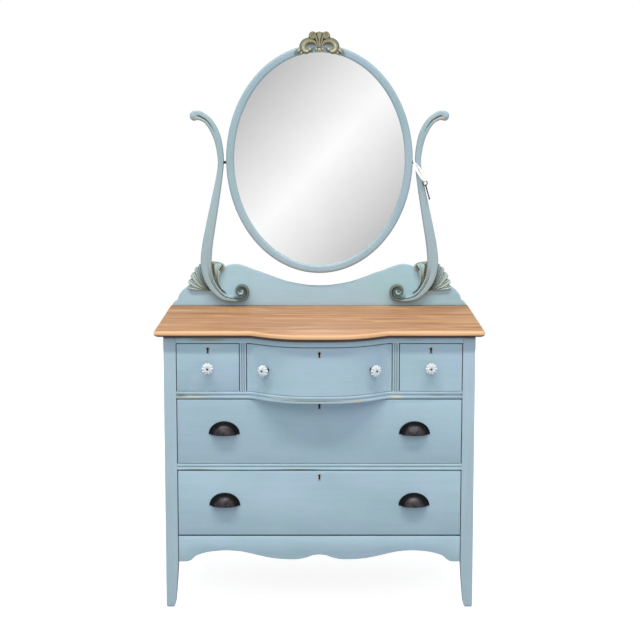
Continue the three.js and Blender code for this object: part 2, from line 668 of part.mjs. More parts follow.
// Turns a piece that stands along +Z to stand square off the drawer front at x, z.
function standOnFront(geometry, x, z, bowed) {
  const step = BOW_HALF_WIDTH / BOW_STEPS;
  const slope = bowed ? (bowAt(x - step) - bowAt(x + step)) / (2 * step) : 0;
  const lean = Math.atan(slope);
  geometry.rotateX(Math.PI / 2);
  geometry.translate(0, -SEAT_GAP, 0);
  geometry.rotateZ(lean);
  geometry.translate(x, FRONT_SET_BACK - (bowed ? bowAt(x) : 0), z);
  return asSolid(geometry);
}

const topRow = [smallDrawerZ, SMALL_DRAWER_OPENING];
const centreKnobs = [-CENTRE_KNOB_TO_MIDDLE, CENTRE_KNOB_TO_MIDDLE];
drawer("small_drawer_left", -halfBay, -dividerOuterX, ...topRow, false, [-SMALL_KNOB_TO_MIDDLE]);
drawer("small_drawer_right", dividerOuterX, halfBay, ...topRow, false, [SMALL_KNOB_TO_MIDDLE]);
drawer("centre_drawer", -dividerInnerX, dividerInnerX, ...topRow, true, centreKnobs);
drawer("upper_drawer", -halfBay, halfBay, upperDrawerZ, UPPER_DRAWER_OPENING, false, []);
drawer("lower_drawer", -halfBay, halfBay, DRAWERS_ABOVE_FLOOR, LOWER_DRAWER_OPENING, false, []);

// Cup pulls: a quarter shell, open below, on a thin flange
function halfOval(x, z, halfWidth, height) {
  const points = [];
  const steps = 14;
  for (let i = 0; i <= steps; i++) {
    const angle = Math.PI * i / steps;
    points.push(at(x + halfWidth * Math.cos(angle), z + height * Math.sin(angle)));
  }
  return points;
}

function cupPull(x, z) {
  const backY = FRONT_SET_BACK - SEAT_GAP;
  const halfShell = PULL_WIDTH / 2 - PULL_FLANGE;
  const shellHeight = PULL_HEIGHT - PULL_FLANGE;
  const [outer, inner] = [0, PULL_WALL].map((inward) => ellipsoid(
    x, backY, z, halfShell - inward, PULL_PROJECTION - inward, shellHeight - inward, 16, 10,
  ));
  const reach = PULL_WIDTH;
  const behind = block(x - reach, x + reach, backY, backY + reach, z - reach, z + reach);
  const below = block(x - reach, x + reach, backY - reach, backY + OVERRUN, z - reach, z);
  const flange = frontPrism(
    halfOval(x, z, PULL_WIDTH / 2, PULL_HEIGHT), backY - PULL_FLANGE_THICKNESS, backY,
  );
  return cut(join(outer, flange), inner, behind, below);
}

for (const [row, z0, opening] of [
  ["upper", upperDrawerZ, UPPER_DRAWER_OPENING], ["lower", DRAWERS_ABOVE_FLOOR, LOWER_DRAWER_OPENING],
]) {
  for (const [name, way] of leftAndRight) {
    const z = z0 + opening / 2 + PULL_ABOVE_DRAWER_MIDDLE - PULL_HEIGHT / 2;
    add(`${row}_cup_pull_${name}`, cupPull(way * PULL_TO_MIDDLE, z), BLACK_IRON);
  }
}

// Mirror board: one half of its top edge, out from the middle
const BOARD_EDGE_SHARES = [
  [0, 0.476], [0.063, 0.483], [0.118, 0.507], [0.171, 0.541], [0.226, 0.585], [0.279, 0.649],
  [0.334, 0.723], [0.387, 0.797], [0.438, 0.855], [0.486, 0.926], [0.535, 0.983], [0.573, 1],
  [0.617, 0.973], [0.648, 0.926], [0.7, 0.87], [0.76, 0.76], [0.835, 0.595], [0.901, 0.44],
  [0.931, 0.351], [0.951, 0.257], [0.958, 0.17], [0.966, 0.125], [0.985, 0.085], [1, 0],
];
const boardOutline = mirroredEdge(BOARD_EDGE_SHARES, BOARD_EDGE_STEPS, (u, v) =>
  at(u * (slabHalf - BOARD_SET_IN), topZ + v * BOARD_HUMP_HEIGHT));
add("mirror_board", frontPrism(boardOutline, boardY, CASE_DEPTH), PAINT);

// Standards: the line of one arm from the tip down, as shares of its reach, rise and width.
// The arm comes nearest the mirror at its waist.
const ARM_SHARES = [
  [0.953, 0.988, 0.86], [0.915, 0.9895, 0.87], [0.87, 0.9895, 0.85], [0.8, 0.981, 0.76],
  [0.718, 0.965, 0.71], [0.643, 0.938, 0.7], [0.583, 0.906, 0.69], [0.53, 0.866, 0.65],
  [0.48, 0.789, 0.57], [0.471, 0.735, 0.53], [0.497, 0.67, 0.56], [0.576, 0.541, 0.73],
  [0.66, 0.412, 0.86], [0.738, 0.283, 0.97], [0.76, 0.2, 1], [0.735, 0.135, 0.93],
  [0.67, 0.085, 0.83], [0.56, 0.04, 0.68], [0.44, 0.012, 0.54], [0.31, 0.001, 0.42],
];

const ARM_WAIST = 9;
const VOLUTE_WIDTH_SHARES = [0.34, 0.18];
const VOLUTE_THICKNESS_SHARES = [1, 0.55];

// The arms stand as far apart as the mirror and its pivots need, and the rest keeps to the volutes.
const [waistAcross, , waistWidth] = ARM_SHARES[ARM_WAIST];
const waistX = MIRROR_HALF_WIDTH + PIVOT_GAP;
const voluteX = waistX + waistWidth * STANDARD_WIDTH / 2 - waistAcross * STANDARD_REACH;
const leafX = voluteX + LEAF_FROM_VOLUTE;
const battenX = voluteX + BATTEN_FROM_VOLUTE;

function standardLine(way) {
  const arm = ARM_SHARES.map(([across, up, width]) => ({
    x: way * (voluteX + across * STANDARD_REACH),
    z: topZ + STANDARD_ABOVE_TOP + up * STANDARD_RISE,
    width: width * STANDARD_WIDTH,
    height: STANDARD_THICKNESS,
  }));
  const scroll = [];
  const turns = 8;
  const centreX = voluteX + VOLUTE_SET_IN;
  const centreZ = topZ + STANDARD_ABOVE_TOP + VOLUTE_RADIUS;
  for (let i = 0; i <= turns; i++) {
    const share = i / turns;
    const angle = 2 * Math.PI * VOLUTE_TURNS * share;
    const radius = THREE.MathUtils.lerp(VOLUTE_RADIUS, VOLUTE_EYE_RADIUS, share);
    scroll.push({
      x: way * (centreX - radius * Math.sin(angle)),
      z: centreZ - radius * Math.cos(angle),
      width: STANDARD_WIDTH * THREE.MathUtils.lerp(...VOLUTE_WIDTH_SHARES, share),
      height: STANDARD_THICKNESS * THREE.MathUtils.lerp(...VOLUTE_THICKNESS_SHARES, share),
    });
  }
  return [...arm, ...scroll];
}

function standard(way, grow) {
  const line = standardLine(way);
  const tip = line[0];
  const scroll = ellipsoid(tip.x, pivotY, tip.z, ...TIP_SCROLL_SIZE.map((size) => size + grow), 12);
  return join(bead(line, boardY + grow, BAR_SECTION_SHARES, grow), scroll);
}

const leafTopZ = topZ + LEAF_ABOVE_TOP + LEAF_HEIGHT;
const leafZ = topZ + LEAF_ABOVE_TOP;
const leafPlateY = boardY - LEAF_PLATE_THICKNESS;
for (const [name, way] of leftAndRight) {
  const x = [way * (leafX - LEAF_LOBE_WIDTH), way * (leafX + LEAF_WIDTH)];
  const leafHousing = block(
    ...x, leafPlateY - SEAT_GAP, boardY + OVERRUN, leafZ - SEAT_GAP, leafTopZ + SEAT_GAP,
  );
  const pivotHole = rod(
    way * MIRROR_HALF_WIDTH, way * (MIRROR_HALF_WIDTH + PIVOT_DEPTH + OVERRUN + PIVOT_COLLAR_RADIUS),
    pivotY, pivotZ, PIVOT_RADIUS + PIVOT_CLEARANCE,
  );
  add(`standard_${name}`, cut(standard(way, 0), leafHousing, pivotHole), PAINT);
}

// Battens: screwed to the back, they carry the board and the standards
for (const [name, way] of leftAndRight) {
  const x = [way * (battenX - BATTEN_WIDTH / 2), way * (battenX + BATTEN_WIDTH / 2)];
  const z = [topZ - BATTEN_BELOW_TOP, topZ + BATTEN_ABOVE_TOP];
  add(`mirror_batten_${name}`, block(...x, CASE_DEPTH, CASE_DEPTH + BATTEN_THICKNESS, ...z), BARE_WOOD);
}

// Leaf carvings: a thin plate on the board, with lobes that fan out behind the standard
const LEAF_PLATE_SHARES = [
  [0.02, 0], [0.12, 0.13], [0.19, 0.3], [0.2, 0.46], [0.13, 0.62], [0.03, 0.77], [0.02, 0.87], [0.09, 0.95],
  [0.2, 0.985], [0.3, 1], [0.42, 0.97], [0.53, 0.955], [0.62, 0.9], [0.7, 0.8], [0.77, 0.7], [0.83, 0.54],
  [0.88, 0.38], [0.91, 0.2], [0.88, 0.1], [0.75, 0.09], [0.55, 0.05], [0.4, 0],
];
const OUTER_LOBE_SHARES = [
  [0.93, 0.17, -0.03], [0.91, 0.37, -0.05], [0.83, 0.6, -0.06], [0.71, 0.79, -0.05], [0.57, 0.9, -0.03],
];
const LEAF_ROOT_SHARES = [0.42, 0.1];
const LOBE_SHOULDER_SHARE = 0.14;
const LOBE_SIZE_SHARES = [[0.5, 0.7], [0.95, 1], [0.6, 0.85], [0.22, 0.6]];
const INNER_LOBE_SHARES = [
  [
    [0.33, 0.9, 0.95, 0.8], [0.29, 0.72, 0.75, 1], [0.27, 0.45, 0.55, 0.9], [0.2, 0.2, 0.4, 0.7],
    [0.08, 0.05, 0.25, 0.5],
  ],
  [[0.11, 0.85, 0.85, 0.9], [0.17, 0.78, 1, 1], [0.22, 0.62, 0.7, 0.9], [0.24, 0.42, 0.3, 0.6]],
];

function leafPlace(way, across, up) {
  return { x: way * (leafX + across * LEAF_WIDTH), z: leafZ + up * LEAF_HEIGHT };
}

function leafPoint(way, across, up, width, height) {
  return { ...leafPlace(way, across, up), width: width * LEAF_LOBE_WIDTH, height: height * LEAF_RELIEF };
}

// An outer lobe runs from its tip to the root they all share, with a bend on the way.
function outerLobe(way, across, up, bend) {
  const [rootAcross, rootUp] = LEAF_ROOT_SHARES;
  const along = (share, aside) => [
    THREE.MathUtils.lerp(across, rootAcross, share) + aside,
    THREE.MathUtils.lerp(up, rootUp, share) - aside,
  ];
  const places = [along(0, 0), along(LOBE_SHOULDER_SHARE, 0), along(1 / 2, bend), along(1, 0)];
  return places.map((place, i) => leafPoint(way, ...place, ...LOBE_SIZE_SHARES[i]));
}

for (const [name, way] of leftAndRight) {
  const outline = LEAF_PLATE_SHARES.map(([across, up]) => {
    const place = leafPlace(way, across, up);
    return at(place.x, place.z);
  });
  const plate = frontPrism(new THREE.SplineCurve(outline).getPoints(30), leafPlateY, boardY);
  const lobeBack = leafPlateY + LEAF_PLATE_THICKNESS / 2;
  const lobes = [
    ...OUTER_LOBE_SHARES.map((lobe) => outerLobe(way, ...lobe)),
    ...INNER_LOBE_SHARES.map((lobe) => lobe.map((p) => leafPoint(way, ...p))),
  ].map((line) => bead(line, lobeBack));
  const carving = join(plate, ...lobes);
  const inFront = block(
    -way * OVERRUN, way * slabHalf, standardY - OVERRUN, leafPlateY, topZ, leafTopZ + LEAF_LOBE_WIDTH,
  );
  const standardRoom = standard(way, SEAT_GAP).intersect(inFront);
  add(`leaf_carving_${name}`, cut(carving, standardRoom), CARVED);
}

// Mirror: an oval moulding, the glass and the board that holds it in
function ovalPoint(step, inset) {
  const angle = 2 * Math.PI * step / MIRROR_STEPS;
  const halves = at(MIRROR_HALF_WIDTH, MIRROR_HALF_HEIGHT);
  const round = at(Math.cos(angle), Math.sin(angle));
  const outward = round.clone().divide(halves).normalize();
  const place = round.multiply(halves).addScaledVector(outward, -inset);
  return [place.x, mirrorCentreZ + place.y];
}

function ovalRing(inset, y) {
  const ring = [];
  for (let step = 0; step < MIRROR_STEPS; step++) {
    const [x, z] = ovalPoint(step, inset);
    ring.push([x, y, z]);
  }
  return ring;
}

function ovalPlate(...layers) {
  const rings = layers.map(([inset, y]) => ovalRing(inset, y));
  return loft(rings, rings[0].map(([x, , z]) => at(x, z)));
}

const MOULDING_SHARES = [[0, 0.5], [0.1, 0.86], [0.34, 1], [0.7, 0.94], [1, 0.62]];
const rebateForward = GLASS_THICKNESS + BACKING_THICKNESS + 2 * SEAT_GAP;
const rebateInset = MIRROR_BAND - GLASS_REBATE;
const mouldingSection = [
  at(0, 0),
  ...MOULDING_SHARES.map(([inset, forward]) => at(inset * MIRROR_BAND, forward * MIRROR_FRAME_THICKNESS)),
  at(MIRROR_BAND, rebateForward), at(rebateInset, rebateForward), at(rebateInset, 0),
];
const mouldingRings = ovalRing(0, 0).map((_, step) => mouldingSection.map((p) => {
  const [x, z] = ovalPoint(step, p.x);
  return [x, boardY - p.y, z];
}));
const pivotSockets = leftAndRight.map(([, way]) => rod(
  way * (MIRROR_HALF_WIDTH - PIVOT_DEPTH - SEAT_GAP), way * (MIRROR_HALF_WIDTH + OVERRUN),
  pivotY, pivotZ, PIVOT_RADIUS + PIVOT_CLEARANCE,
));
add("mirror_frame", cut(loft(mouldingRings), ...pivotSockets), PAINT);

const glassInset = rebateInset + GLASS_EDGE_GAP;
const glassBackY = boardY - BACKING_THICKNESS - SEAT_GAP;
const glassFrontY = glassBackY - GLASS_THICKNESS;
add("mirror_glass", ovalPlate([glassInset, glassBackY], [glassInset, glassFrontY]), MIRROR_GLASS);
add("mirror_backing", ovalPlate([glassInset, boardY], [glassInset, boardY - BACKING_THICKNESS]), BARE_WOOD);

for (const [name, way] of leftAndRight) {
  const shank = rod(
    way * (MIRROR_HALF_WIDTH - PIVOT_DEPTH), way * (MIRROR_HALF_WIDTH + PIVOT_DEPTH + PIVOT_COLLAR_RADIUS),
    pivotY, pivotZ, PIVOT_RADIUS,
  );
  const collar = rod(
    way * (MIRROR_HALF_WIDTH + 2 * SEAT_GAP), way * (waistX - 2 * SEAT_GAP),
    pivotY, pivotZ, PIVOT_COLLAR_RADIUS,
  );
  add(`pivot_screw_${name}`, join(shank, collar), OLD_BRASS);
}

// Crest carving on the top of the mirror frame, as shares of its half width and height
const CREST_PLATE_SHARES = [
  [0.98, 0.02], [0.9, 0.16], [0.76, 0.32], [0.73, 0.48], [0.62, 0.66],
  [0.42, 0.76], [0.41, 0.87], [0.32, 0.97], [0.16, 0.95], [0, 1],
];
const CREST_LOWER_SHARES = [
  [0, 0.2], [0.12, 0.24], [0.2, 0.36], [0.3, 0.28], [0.38, 0.14], [0.56, 0.1], [0.72, 0.06], [0.86, 0.02],
];
// A scroll, a lobe beside the middle one, and two leaves below the scroll
const CREST_BEAD_SHARES = [
  [
    [0.08, 0.4, 0.08, 0.6], [0.16, 0.56, 0.12, 0.9], [0.3, 0.63, 0.17, 1.1], [0.46, 0.63, 0.21, 1.2],
    [0.6, 0.53, 0.23, 1.2], [0.66, 0.38, 0.23, 1.2], [0.63, 0.24, 0.21, 1.1], [0.53, 0.165, 0.18, 1],
    [0.42, 0.18, 0.14, 0.9],
  ],
  [[0.13, 0.86, 0.12, 0.8], [0.11, 0.7, 0.12, 1], [0.06, 0.52, 0.09, 0.9], [0.025, 0.36, 0.05, 0.7]],
  [[0.7, 0.3, 0.1, 0.7], [0.82, 0.2, 0.17, 1], [0.95, 0.06, 0.1, 0.6]],
  [[0.64, 0.2, 0.08, 0.7], [0.72, 0.11, 0.12, 0.9], [0.79, 0.04, 0.07, 0.6]],
];
const CREST_MIDDLE_SHARES = [
  [0, 0.97, 0.16, 0.7], [0, 0.88, 0.22, 1], [0, 0.66, 0.13, 0.9], [0, 0.36, 0.06, 0.7],
];
const CREST_EYE_SHARES = [[0.25, 0.84, 0.15, 1], [0.35, 0.24, 0.09, 1.1], [0.1, 0.27, 0.065, 0.9]];
const CREST_FOOT_SHARES = [0, 0.24, 0.09, 1.1];

const crestBackY = mirrorFrontY - SEAT_GAP;
const crestZ = mirrorCentreZ + MIRROR_HALF_HEIGHT + CREST_ABOVE_FRAME - CREST_HEIGHT;
function crestPoint(way, across, up, width, height) {
  return {
    x: way * across * CREST_HALF_WIDTH,
    z: crestZ + up * CREST_HEIGHT,
    width: width * CREST_HALF_WIDTH,
    height: height * CREST_RELIEF,
  };
}

const crestEdge = [
  ...CREST_PLATE_SHARES.map(([u, v]) => [-u, v]),
  ...CREST_PLATE_SHARES.slice(0, -1).reverse(),
  ...CREST_LOWER_SHARES.slice(1).reverse(),
  ...CREST_LOWER_SHARES.map(([u, v]) => [-u, v]),
].map(([u, v]) => at(u * CREST_HALF_WIDTH, crestZ + v * CREST_HEIGHT));
const carvingBack = crestBackY - CREST_PLATE_THICKNESS / 2;
const crestBead = (way, line) => bead(line.map((p) => crestPoint(way, ...p)), carvingBack);
const crestDome = (way, shares) => {
  const { x, z, width, height } = crestPoint(way, ...shares);
  return ellipsoid(x, carvingBack, z, width, height, width);
};
const crestSolids = [
  frontPrism(crestEdge, crestBackY - CREST_PLATE_THICKNESS, crestBackY),
  crestBead(1, CREST_MIDDLE_SHARES), crestDome(1, CREST_FOOT_SHARES),
  ...leftAndRight.flatMap(([, way]) => [
    ...CREST_BEAD_SHARES.map((line) => crestBead(way, line)),
    ...CREST_EYE_SHARES.map((eye) => crestDome(way, eye)),
  ]),
];
const behindCrest = block(
  -MIRROR_HALF_WIDTH, MIRROR_HALF_WIDTH, crestBackY, crestBackY + MIRROR_BAND,
  crestZ - CREST_HEIGHT, crestZ + 2 * CREST_HEIGHT,
);
add("crest_carving", cut(join(...crestSolids), behindCrest), CARVED);

// Ribbon: over the pivot collar, down in front of the right standard, through the key and back.
// Its route is counted from the pivot's axis at the edge of the mirror's frame.
const RIBBON_ROUTE = [
  [3.2, 7.1, -1], [3.2, 5.6, 4.6], [3.2, 0, 7.3], [3.3, -6.2, 4.2], [4.5, -12, -1.8],
  [8.2, -16.4, -9.4], [13.4, -19, -20.3], [21.2, -21.6, -34.8], [29.9, -23.6, -48.8],
  [36.4, -24.2, -57.8], [41, -24.1, -63.6], [42.9, -22.7, -67], [43.7, -19, -68.4],
  [42.9, -15.3, -67], [41.4, -13.9, -63.3], [38.2, -13.8, -56.2], [31.6, -14.1, -41.8],
  [23.8, -14.1, -26.4], [15.6, -14.1, -13.1], [9.6, -13.6, -5], [7, -10.6, -0.8], [6.6, -6.4, 4],
  [6.6, 0, 7.3], [6.6, 5.6, 4.6], [6.6, 7.1, -1],
];
const pivotPlace = new THREE.Vector3(MIRROR_HALF_WIDTH, pivotY, pivotZ);
const ribbonPoints = RIBBON_ROUTE.map((p) => new THREE.Vector3(...p).add(pivotPlace));
const ribbonPath = new THREE.CatmullRomCurve3(ribbonPoints);
const ribbonSection = new THREE.Shape();
ribbonSection.setFromPoints(Array.from({ length: RIBBON_SIDES }, (_, k) => {
  const angle = 2 * Math.PI * (k + 1 / 2) / RIBBON_SIDES;
  return at(Math.cos(angle), Math.sin(angle)).multiplyScalar(RIBBON_DIAMETER / 2);
}));
const ribbon = { steps: RIBBON_STEPS, extrudePath: ribbonPath, bevelEnabled: false };
add("key_ribbon", asSolid(new THREE.ExtrudeGeometry(ribbonSection, ribbon)), WHITE_RIBBON);

// Key: bow, shank and bit, hanging from the lowest turn of the ribbon
const turn = ribbonPoints[12];
const before = ribbonPoints[9];
const hang = at(turn.x - before.x, turn.z - before.z).normalize();
const barAbove = RIBBON_DIAMETER / 2 + KEY_PLAY + KEY_BOW_WIRE_RADIUS;
const bow = new THREE.TorusGeometry(KEY_BOW_RADIUS, KEY_BOW_WIRE_RADIUS, 6, 16);
const shankTop = -KEY_BOW_RADIUS;
const shank = new THREE.CylinderGeometry(KEY_SHANK_RADIUS, KEY_SHANK_RADIUS, KEY_LENGTH, 10);
shank.translate(0, shankTop - KEY_LENGTH / 2, 0);
const tip = new THREE.SphereGeometry(KEY_TIP_RADIUS, 8, 6);
tip.translate(0, shankTop - KEY_LENGTH, 0);
const bit = new THREE.BoxGeometry(KEY_BIT_THICKNESS, KEY_BIT_WIDTH, KEY_BIT_LENGTH);
bit.translate(0, shankTop - KEY_LENGTH + KEY_BIT_WIDTH, KEY_BIT_LENGTH / 2);
const keyPieces = [bow, shank, tip, bit].map((piece) => {
  piece.rotateX(Math.PI / 2);
  piece.translate(0, 0, -KEY_BOW_RADIUS);
  piece.rotateY(-KEY_LEAN);
  piece.translate(turn.x - hang.x * barAbove, turn.y, turn.z - hang.y * barAbove);
  return asSolid(piece);
});
add("key", join(...keyPieces), OLD_BRASS);

// The origin goes to the floor, midway across and front to back, leaving out what hangs on the ribbon.
const extent = new THREE.Box3();
for (const mesh of dresser.children) {
  if (!mesh.name.startsWith("key")) extent.expandByObject(mesh);
}
const middle = extent.getCenter(new THREE.Vector3());
dresser.position.set(-middle.x, -middle.y, -extent.min.z);

export default dresser;
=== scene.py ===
import math

import bmesh
import bpy
from mathutils import Matrix, Vector


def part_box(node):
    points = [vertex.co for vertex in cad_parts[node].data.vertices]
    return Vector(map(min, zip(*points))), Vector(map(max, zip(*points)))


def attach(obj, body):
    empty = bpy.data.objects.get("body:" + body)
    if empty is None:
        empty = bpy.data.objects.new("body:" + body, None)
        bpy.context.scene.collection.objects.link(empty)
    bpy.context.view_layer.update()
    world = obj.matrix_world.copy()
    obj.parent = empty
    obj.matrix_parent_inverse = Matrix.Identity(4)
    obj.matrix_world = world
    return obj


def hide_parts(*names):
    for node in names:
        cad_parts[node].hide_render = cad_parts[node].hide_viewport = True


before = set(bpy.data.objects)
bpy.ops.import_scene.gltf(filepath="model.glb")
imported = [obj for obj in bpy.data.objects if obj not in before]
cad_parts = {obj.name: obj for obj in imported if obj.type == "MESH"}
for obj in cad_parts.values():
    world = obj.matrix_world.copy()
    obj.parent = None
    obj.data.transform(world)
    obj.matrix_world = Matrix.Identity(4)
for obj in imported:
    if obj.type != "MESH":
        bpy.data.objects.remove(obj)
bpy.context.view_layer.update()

scene = bpy.context.scene

# The camera was fitted to the outline of the dresser.
CAMERA_PITCH = 0.115
camera_data = bpy.data.cameras.new("camera")
camera_data.sensor_width = 36
camera_data.lens = 75.29
camera_data.shift_y = -0.138
camera = bpy.data.objects.new("camera", camera_data)
camera.location = (0.00206, -4.4604, 1.7429)
camera.rotation_euler = (math.pi / 2 - CAMERA_PITCH, 0, 0)
scene.collection.objects.link(camera)
scene.camera = camera

# Places read from the frame, in metres
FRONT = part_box("front_post_right")[0].y
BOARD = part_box("mirror_board")[0].y
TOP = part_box("top_slab")[1].z
PIVOT = Vector((0.328, 0.246, 1.445))
MIRROR_MIDDLE = 1.454
MIRROR_HALF = (0.328, 0.402)
MIRROR_TOP = MIRROR_MIDDLE + MIRROR_HALF[1]
MOULDING_WIDTH, MOULDING_DEPTH = 0.027, 0.024
SMALL_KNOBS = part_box("small_drawer_left_knob")
KNOB_HEIGHT = (SMALL_KNOBS[0].z + SMALL_KNOBS[1].z) / 2
COIL = (0.2794, 0, TOP + 0.054)  # the middle of the right standard's coil
DRAWER_FACE = FRONT + 0.0015
SLAB_BOTTOM = TOP - 0.02


def pair():
    return ("left", -1), ("right", 1)


def part_way(value, start, length):
    """0 up to start, 1 from start + length on."""
    return max(0, min(1, (value - start) / length))


def in_mm(*profile):
    """A profile written in millimetres, in metres."""
    return [(first / 1000, second / 1000) for first, second in profile]


def around(count):
    """The angles of this many even steps round a circle."""
    return [2 * math.pi * k / count for k in range(count)]


# Shader maths

class Shade:
    """A value in a node tree, which Python's operators turn into Math nodes."""

    def __init__(self, nodes, socket):
        self.nodes, self.socket = nodes, socket

    def __add__(self, other):
        return self.nodes.maths("ADD", self, other)

    def __sub__(self, other):
        return self.nodes.maths("SUBTRACT", self, other)

    def __mul__(self, other):
        return self.nodes.maths("MULTIPLY", self, other)

    def __rsub__(self, other):
        return self.nodes.maths("SUBTRACT", other, self)

    __radd__ = __add__
    __rmul__ = __mul__

    def span(self, low, high):
        """0 up to low, 1 from high on, smooth between."""
        settings = {"interpolation_type": "SMOOTHSTEP"}
        return self.nodes.node("MapRange", settings, {0: self, 1: low, 2: high})

    def off(self, place):
        """How far the value is from this place, either way."""
        return self.nodes.maths("ABSOLUTE", self - place)

    def least(self, other):
        """The smaller of the two."""
        return self.nodes.maths("MINIMUM", self, other)


def linear(red, green, blue):
    """A colour read as 0 to 255, as a shader wants it."""
    def one(value):
        value /= 255
        return value / 12.92 if value <= 0.04045 else ((value + 0.055) / 1.055) ** 2.4
    return (one(red), one(green), one(blue), 1)


def darker(colour, share):
    return tuple(int(share * value) for value in colour)


class Nodes:
    """A node tree; kinds of nodes are named without their "ShaderNode"."""

    def __init__(self, tree):
        self.tree = tree

    def node(self, kind, settings=None, sockets=None, output=0):
        node = self.tree.nodes.new("ShaderNode" + kind)
        for key, value in (settings or {}).items():
            setattr(node, key, value)
        for key, value in (sockets or {}).items():
            self.feed(node.inputs[key], value)
        return Shade(self, node.outputs[output])

    def feed(self, socket, value):
        if isinstance(value, Shade):
            self.tree.links.new(value.socket, socket)
        else:
            socket.default_value = value

    def maths(self, operation, *values):
        return self.node("Math", {"operation": operation}, dict(enumerate(values)))


class Finish(Nodes):
    """A material and the nodes that make it; colours are 0 to 255."""

    def __init__(self, name, **sockets):
        self.material = bpy.data.materials.new(name)
        self.material.use_nodes = True
        super().__init__(self.material.node_tree)
        self.surface = self.tree.nodes["Principled BSDF"]
        self.give(**sockets)
        self.place = self.node("TexCoord", output="Object")

    def give(self, **sockets):
        """Sets sockets of the surface, named in small letters."""
        for name, value in sockets.items():
            self.feed(self.surface.inputs[name.replace("_", " ").title().replace("Ior", "IOR")], value)

    def stretched(self, scale, shift=(0, 0, 0)):
        return self.node("Mapping", {}, {"Vector": self.place, "Scale": scale, "Location": shift})

    def noise(self, scale, detail=3, roughness=0.55, place=None, distortion=0):
        sockets = {"Vector": place or self.place, "Scale": scale, "Detail": detail,
                   "Roughness": roughness, "Distortion": distortion}
        return self.node("TexNoise", {}, sockets)

    def mix(self, factor, first, second):
        """The first colour where the factor is 0 and the second where it is 1."""
        first, second = (linear(*c) if isinstance(c, tuple) else c for c in (first, second))
        return self.node("Mix", {"data_type": "RGBA"}, {0: factor, 6: first, 7: second}, output=2)

    def coat(self, factor, colour):
        """Lays a colour over the one so far where the factor is 1."""
        self.colour = self.mix(factor, self.colour, colour)

    def ready(self, roughness, relief, strength, distance):
        """Gives the surface its colour, roughness and relief, and returns the material."""
        sockets = {"Height": relief, "Strength": strength, "Distance": distance}
        self.give(base_color=self.colour, roughness=roughness, normal=self.node("Bump", {}, sockets))
        return self.material

    def shelter(self, distance, samples=8):
        """1 in the open, falling to 0 in a recess of about this depth."""
        settings = {"samples": samples, "only_local": True}
        return self.node("AmbientOcclusion", settings, {"Distance": distance}, output="AO")

    def vector(self, operation, *values, output=0):
        return self.node("VectorMath", {"operation": operation}, dict(enumerate(values)), output)

    def normal(self):
        return self.node("NewGeometry", output="Normal")

    def facing(self, axis):
        """How far the surface faces along X, Y or Z, from -1 to 1."""
        return self.node("SeparateXYZ", {}, {0: self.normal()}, output=axis)

    def along(self, axis):
        """How far along X, Y or Z the surface lies, in metres."""
        return self.node("SeparateXYZ", {}, {0: self.place}, output=axis)

    def edges(self, radius):
        """0 on flat ground, growing where the surface turns within this radius."""
        rounded = self.node("Bevel", {"samples": 6}, {"Radius": radius})
        return 1 - self.vector("DOT_PRODUCT", rounded, self.normal(), output="Value")


def painted(name, hue, worn=1, along="Z", groove=0.009, coil=False, rubbed=()):
    """Dusty chalk paint, brushed along the piece, rubbed down to old olive and brown on edges and in grooves.
    Each rubbed place is its middle (x, z), its half size and the colour under the paint."""
    f = Finish(name, specular_ior_level=0.3)
    brush, rubs = {"Z": ((60, 60, 4), (34, 34, 5)), "X": ((4, 60, 60), (5, 34, 34)),
                   "curve": ((12, 12, 8), (12, 12, 8))}[along]
    red, green, blue = hue
    cloud = f.noise(5, 4)
    drift = f.noise(9, 3, place=f.stretched((1, 1, 1), shift=(3.1, 1.7, 0.4)))
    streak = f.noise(1, 4, 0.6, f.stretched(brush))
    weave = f.noise(1, 3, 0.6, f.stretched(tuple(5 * b for b in brush)))
    f.colour = f.mix(cloud.span(0.35, 0.65), (red - 4, green - 1, blue - 4), (red + 2, green + 1, blue + 4))
    f.coat(drift.span(0.5, 0.75) * 0.5, (red - 4, green + 4, blue - 7))
    f.coat(streak.span(0.35, 0.7) * 0.3, (red + 13, green + 11, blue + 8))
    f.coat(weave.span(0.5, 0.75) * 0.16, (red - 30, green - 26, blue - 22))
    rub = f.noise(1, 4, 0.62, f.stretched(rubs)) * 0.62 + f.noise(4.5, 2) * 0.5
    edge = f.edges(0.0022).span(0.02, 0.12)
    bare = (edge * rub.span(0.555, 0.64) * worn).least(1)
    hollow = 1 - f.shelter(groove).span(0.35, 0.9)
    # Painted shade darkens grooves and recesses, where rubbing also shows old olive.
    f.coat(hollow * 0.55, (92, 108, 112))
    f.coat((hollow * rub.span(0.5, 0.6) * worn).least(0.8), (134, 120, 78))
    f.coat(bare * 0.8, (146, 132, 92))
    f.coat((bare * f.noise(70, 3).span(0.5, 0.62)).least(0.75), (104, 82, 52))
    # A dark line of painted shade runs under the top.
    x, z = f.along("X"), f.along("Z")
    under_top_shade = z.span(SLAB_BOTTOM - 0.0095, SLAB_BOTTOM - 0.006) * z.span(SLAB_BOTTOM + 0.004, SLAB_BOTTOM + 0.001)
    f.coat(under_top_shade * 0.8, (84, 64, 54))
    for place_x, place_z, wide, tall, under in rubbed:
        patch = x.off(place_x).span(wide, wide * 0.1) * z.off(place_z).span(tall, tall * 0.4)
        f.coat(patch * (0.35 + rub.span(0.46, 0.62) * 0.5), under)
    if coil:
        # The scroll at each foot is darkened round its bud, partly grime and partly painted shade, and its bud
        # is made paler.
        place = f.vector("MULTIPLY", f.vector("ABSOLUTE", f.place), (1, 0, 1))
        away = f.vector("DISTANCE", place, COIL, output="Value")
        scroll = away.span(0.037, 0.031) * away.span(0.0085, 0.0125)
        f.coat(scroll * 0.8, (76, 88, 80))
        f.coat(scroll * rub.span(0.5, 0.62) * 0.4, (136, 134, 106))
        f.coat(away.span(0.0125, 0.0085) * 0.6, (196, 198, 180))
    relief = streak * 0.5 + weave * 0.3 + f.noise(90, 4) * 0.4
    return f.ready(0.6 + streak * 0.22 + bare * -0.12, relief, 0.14, 0.0006)


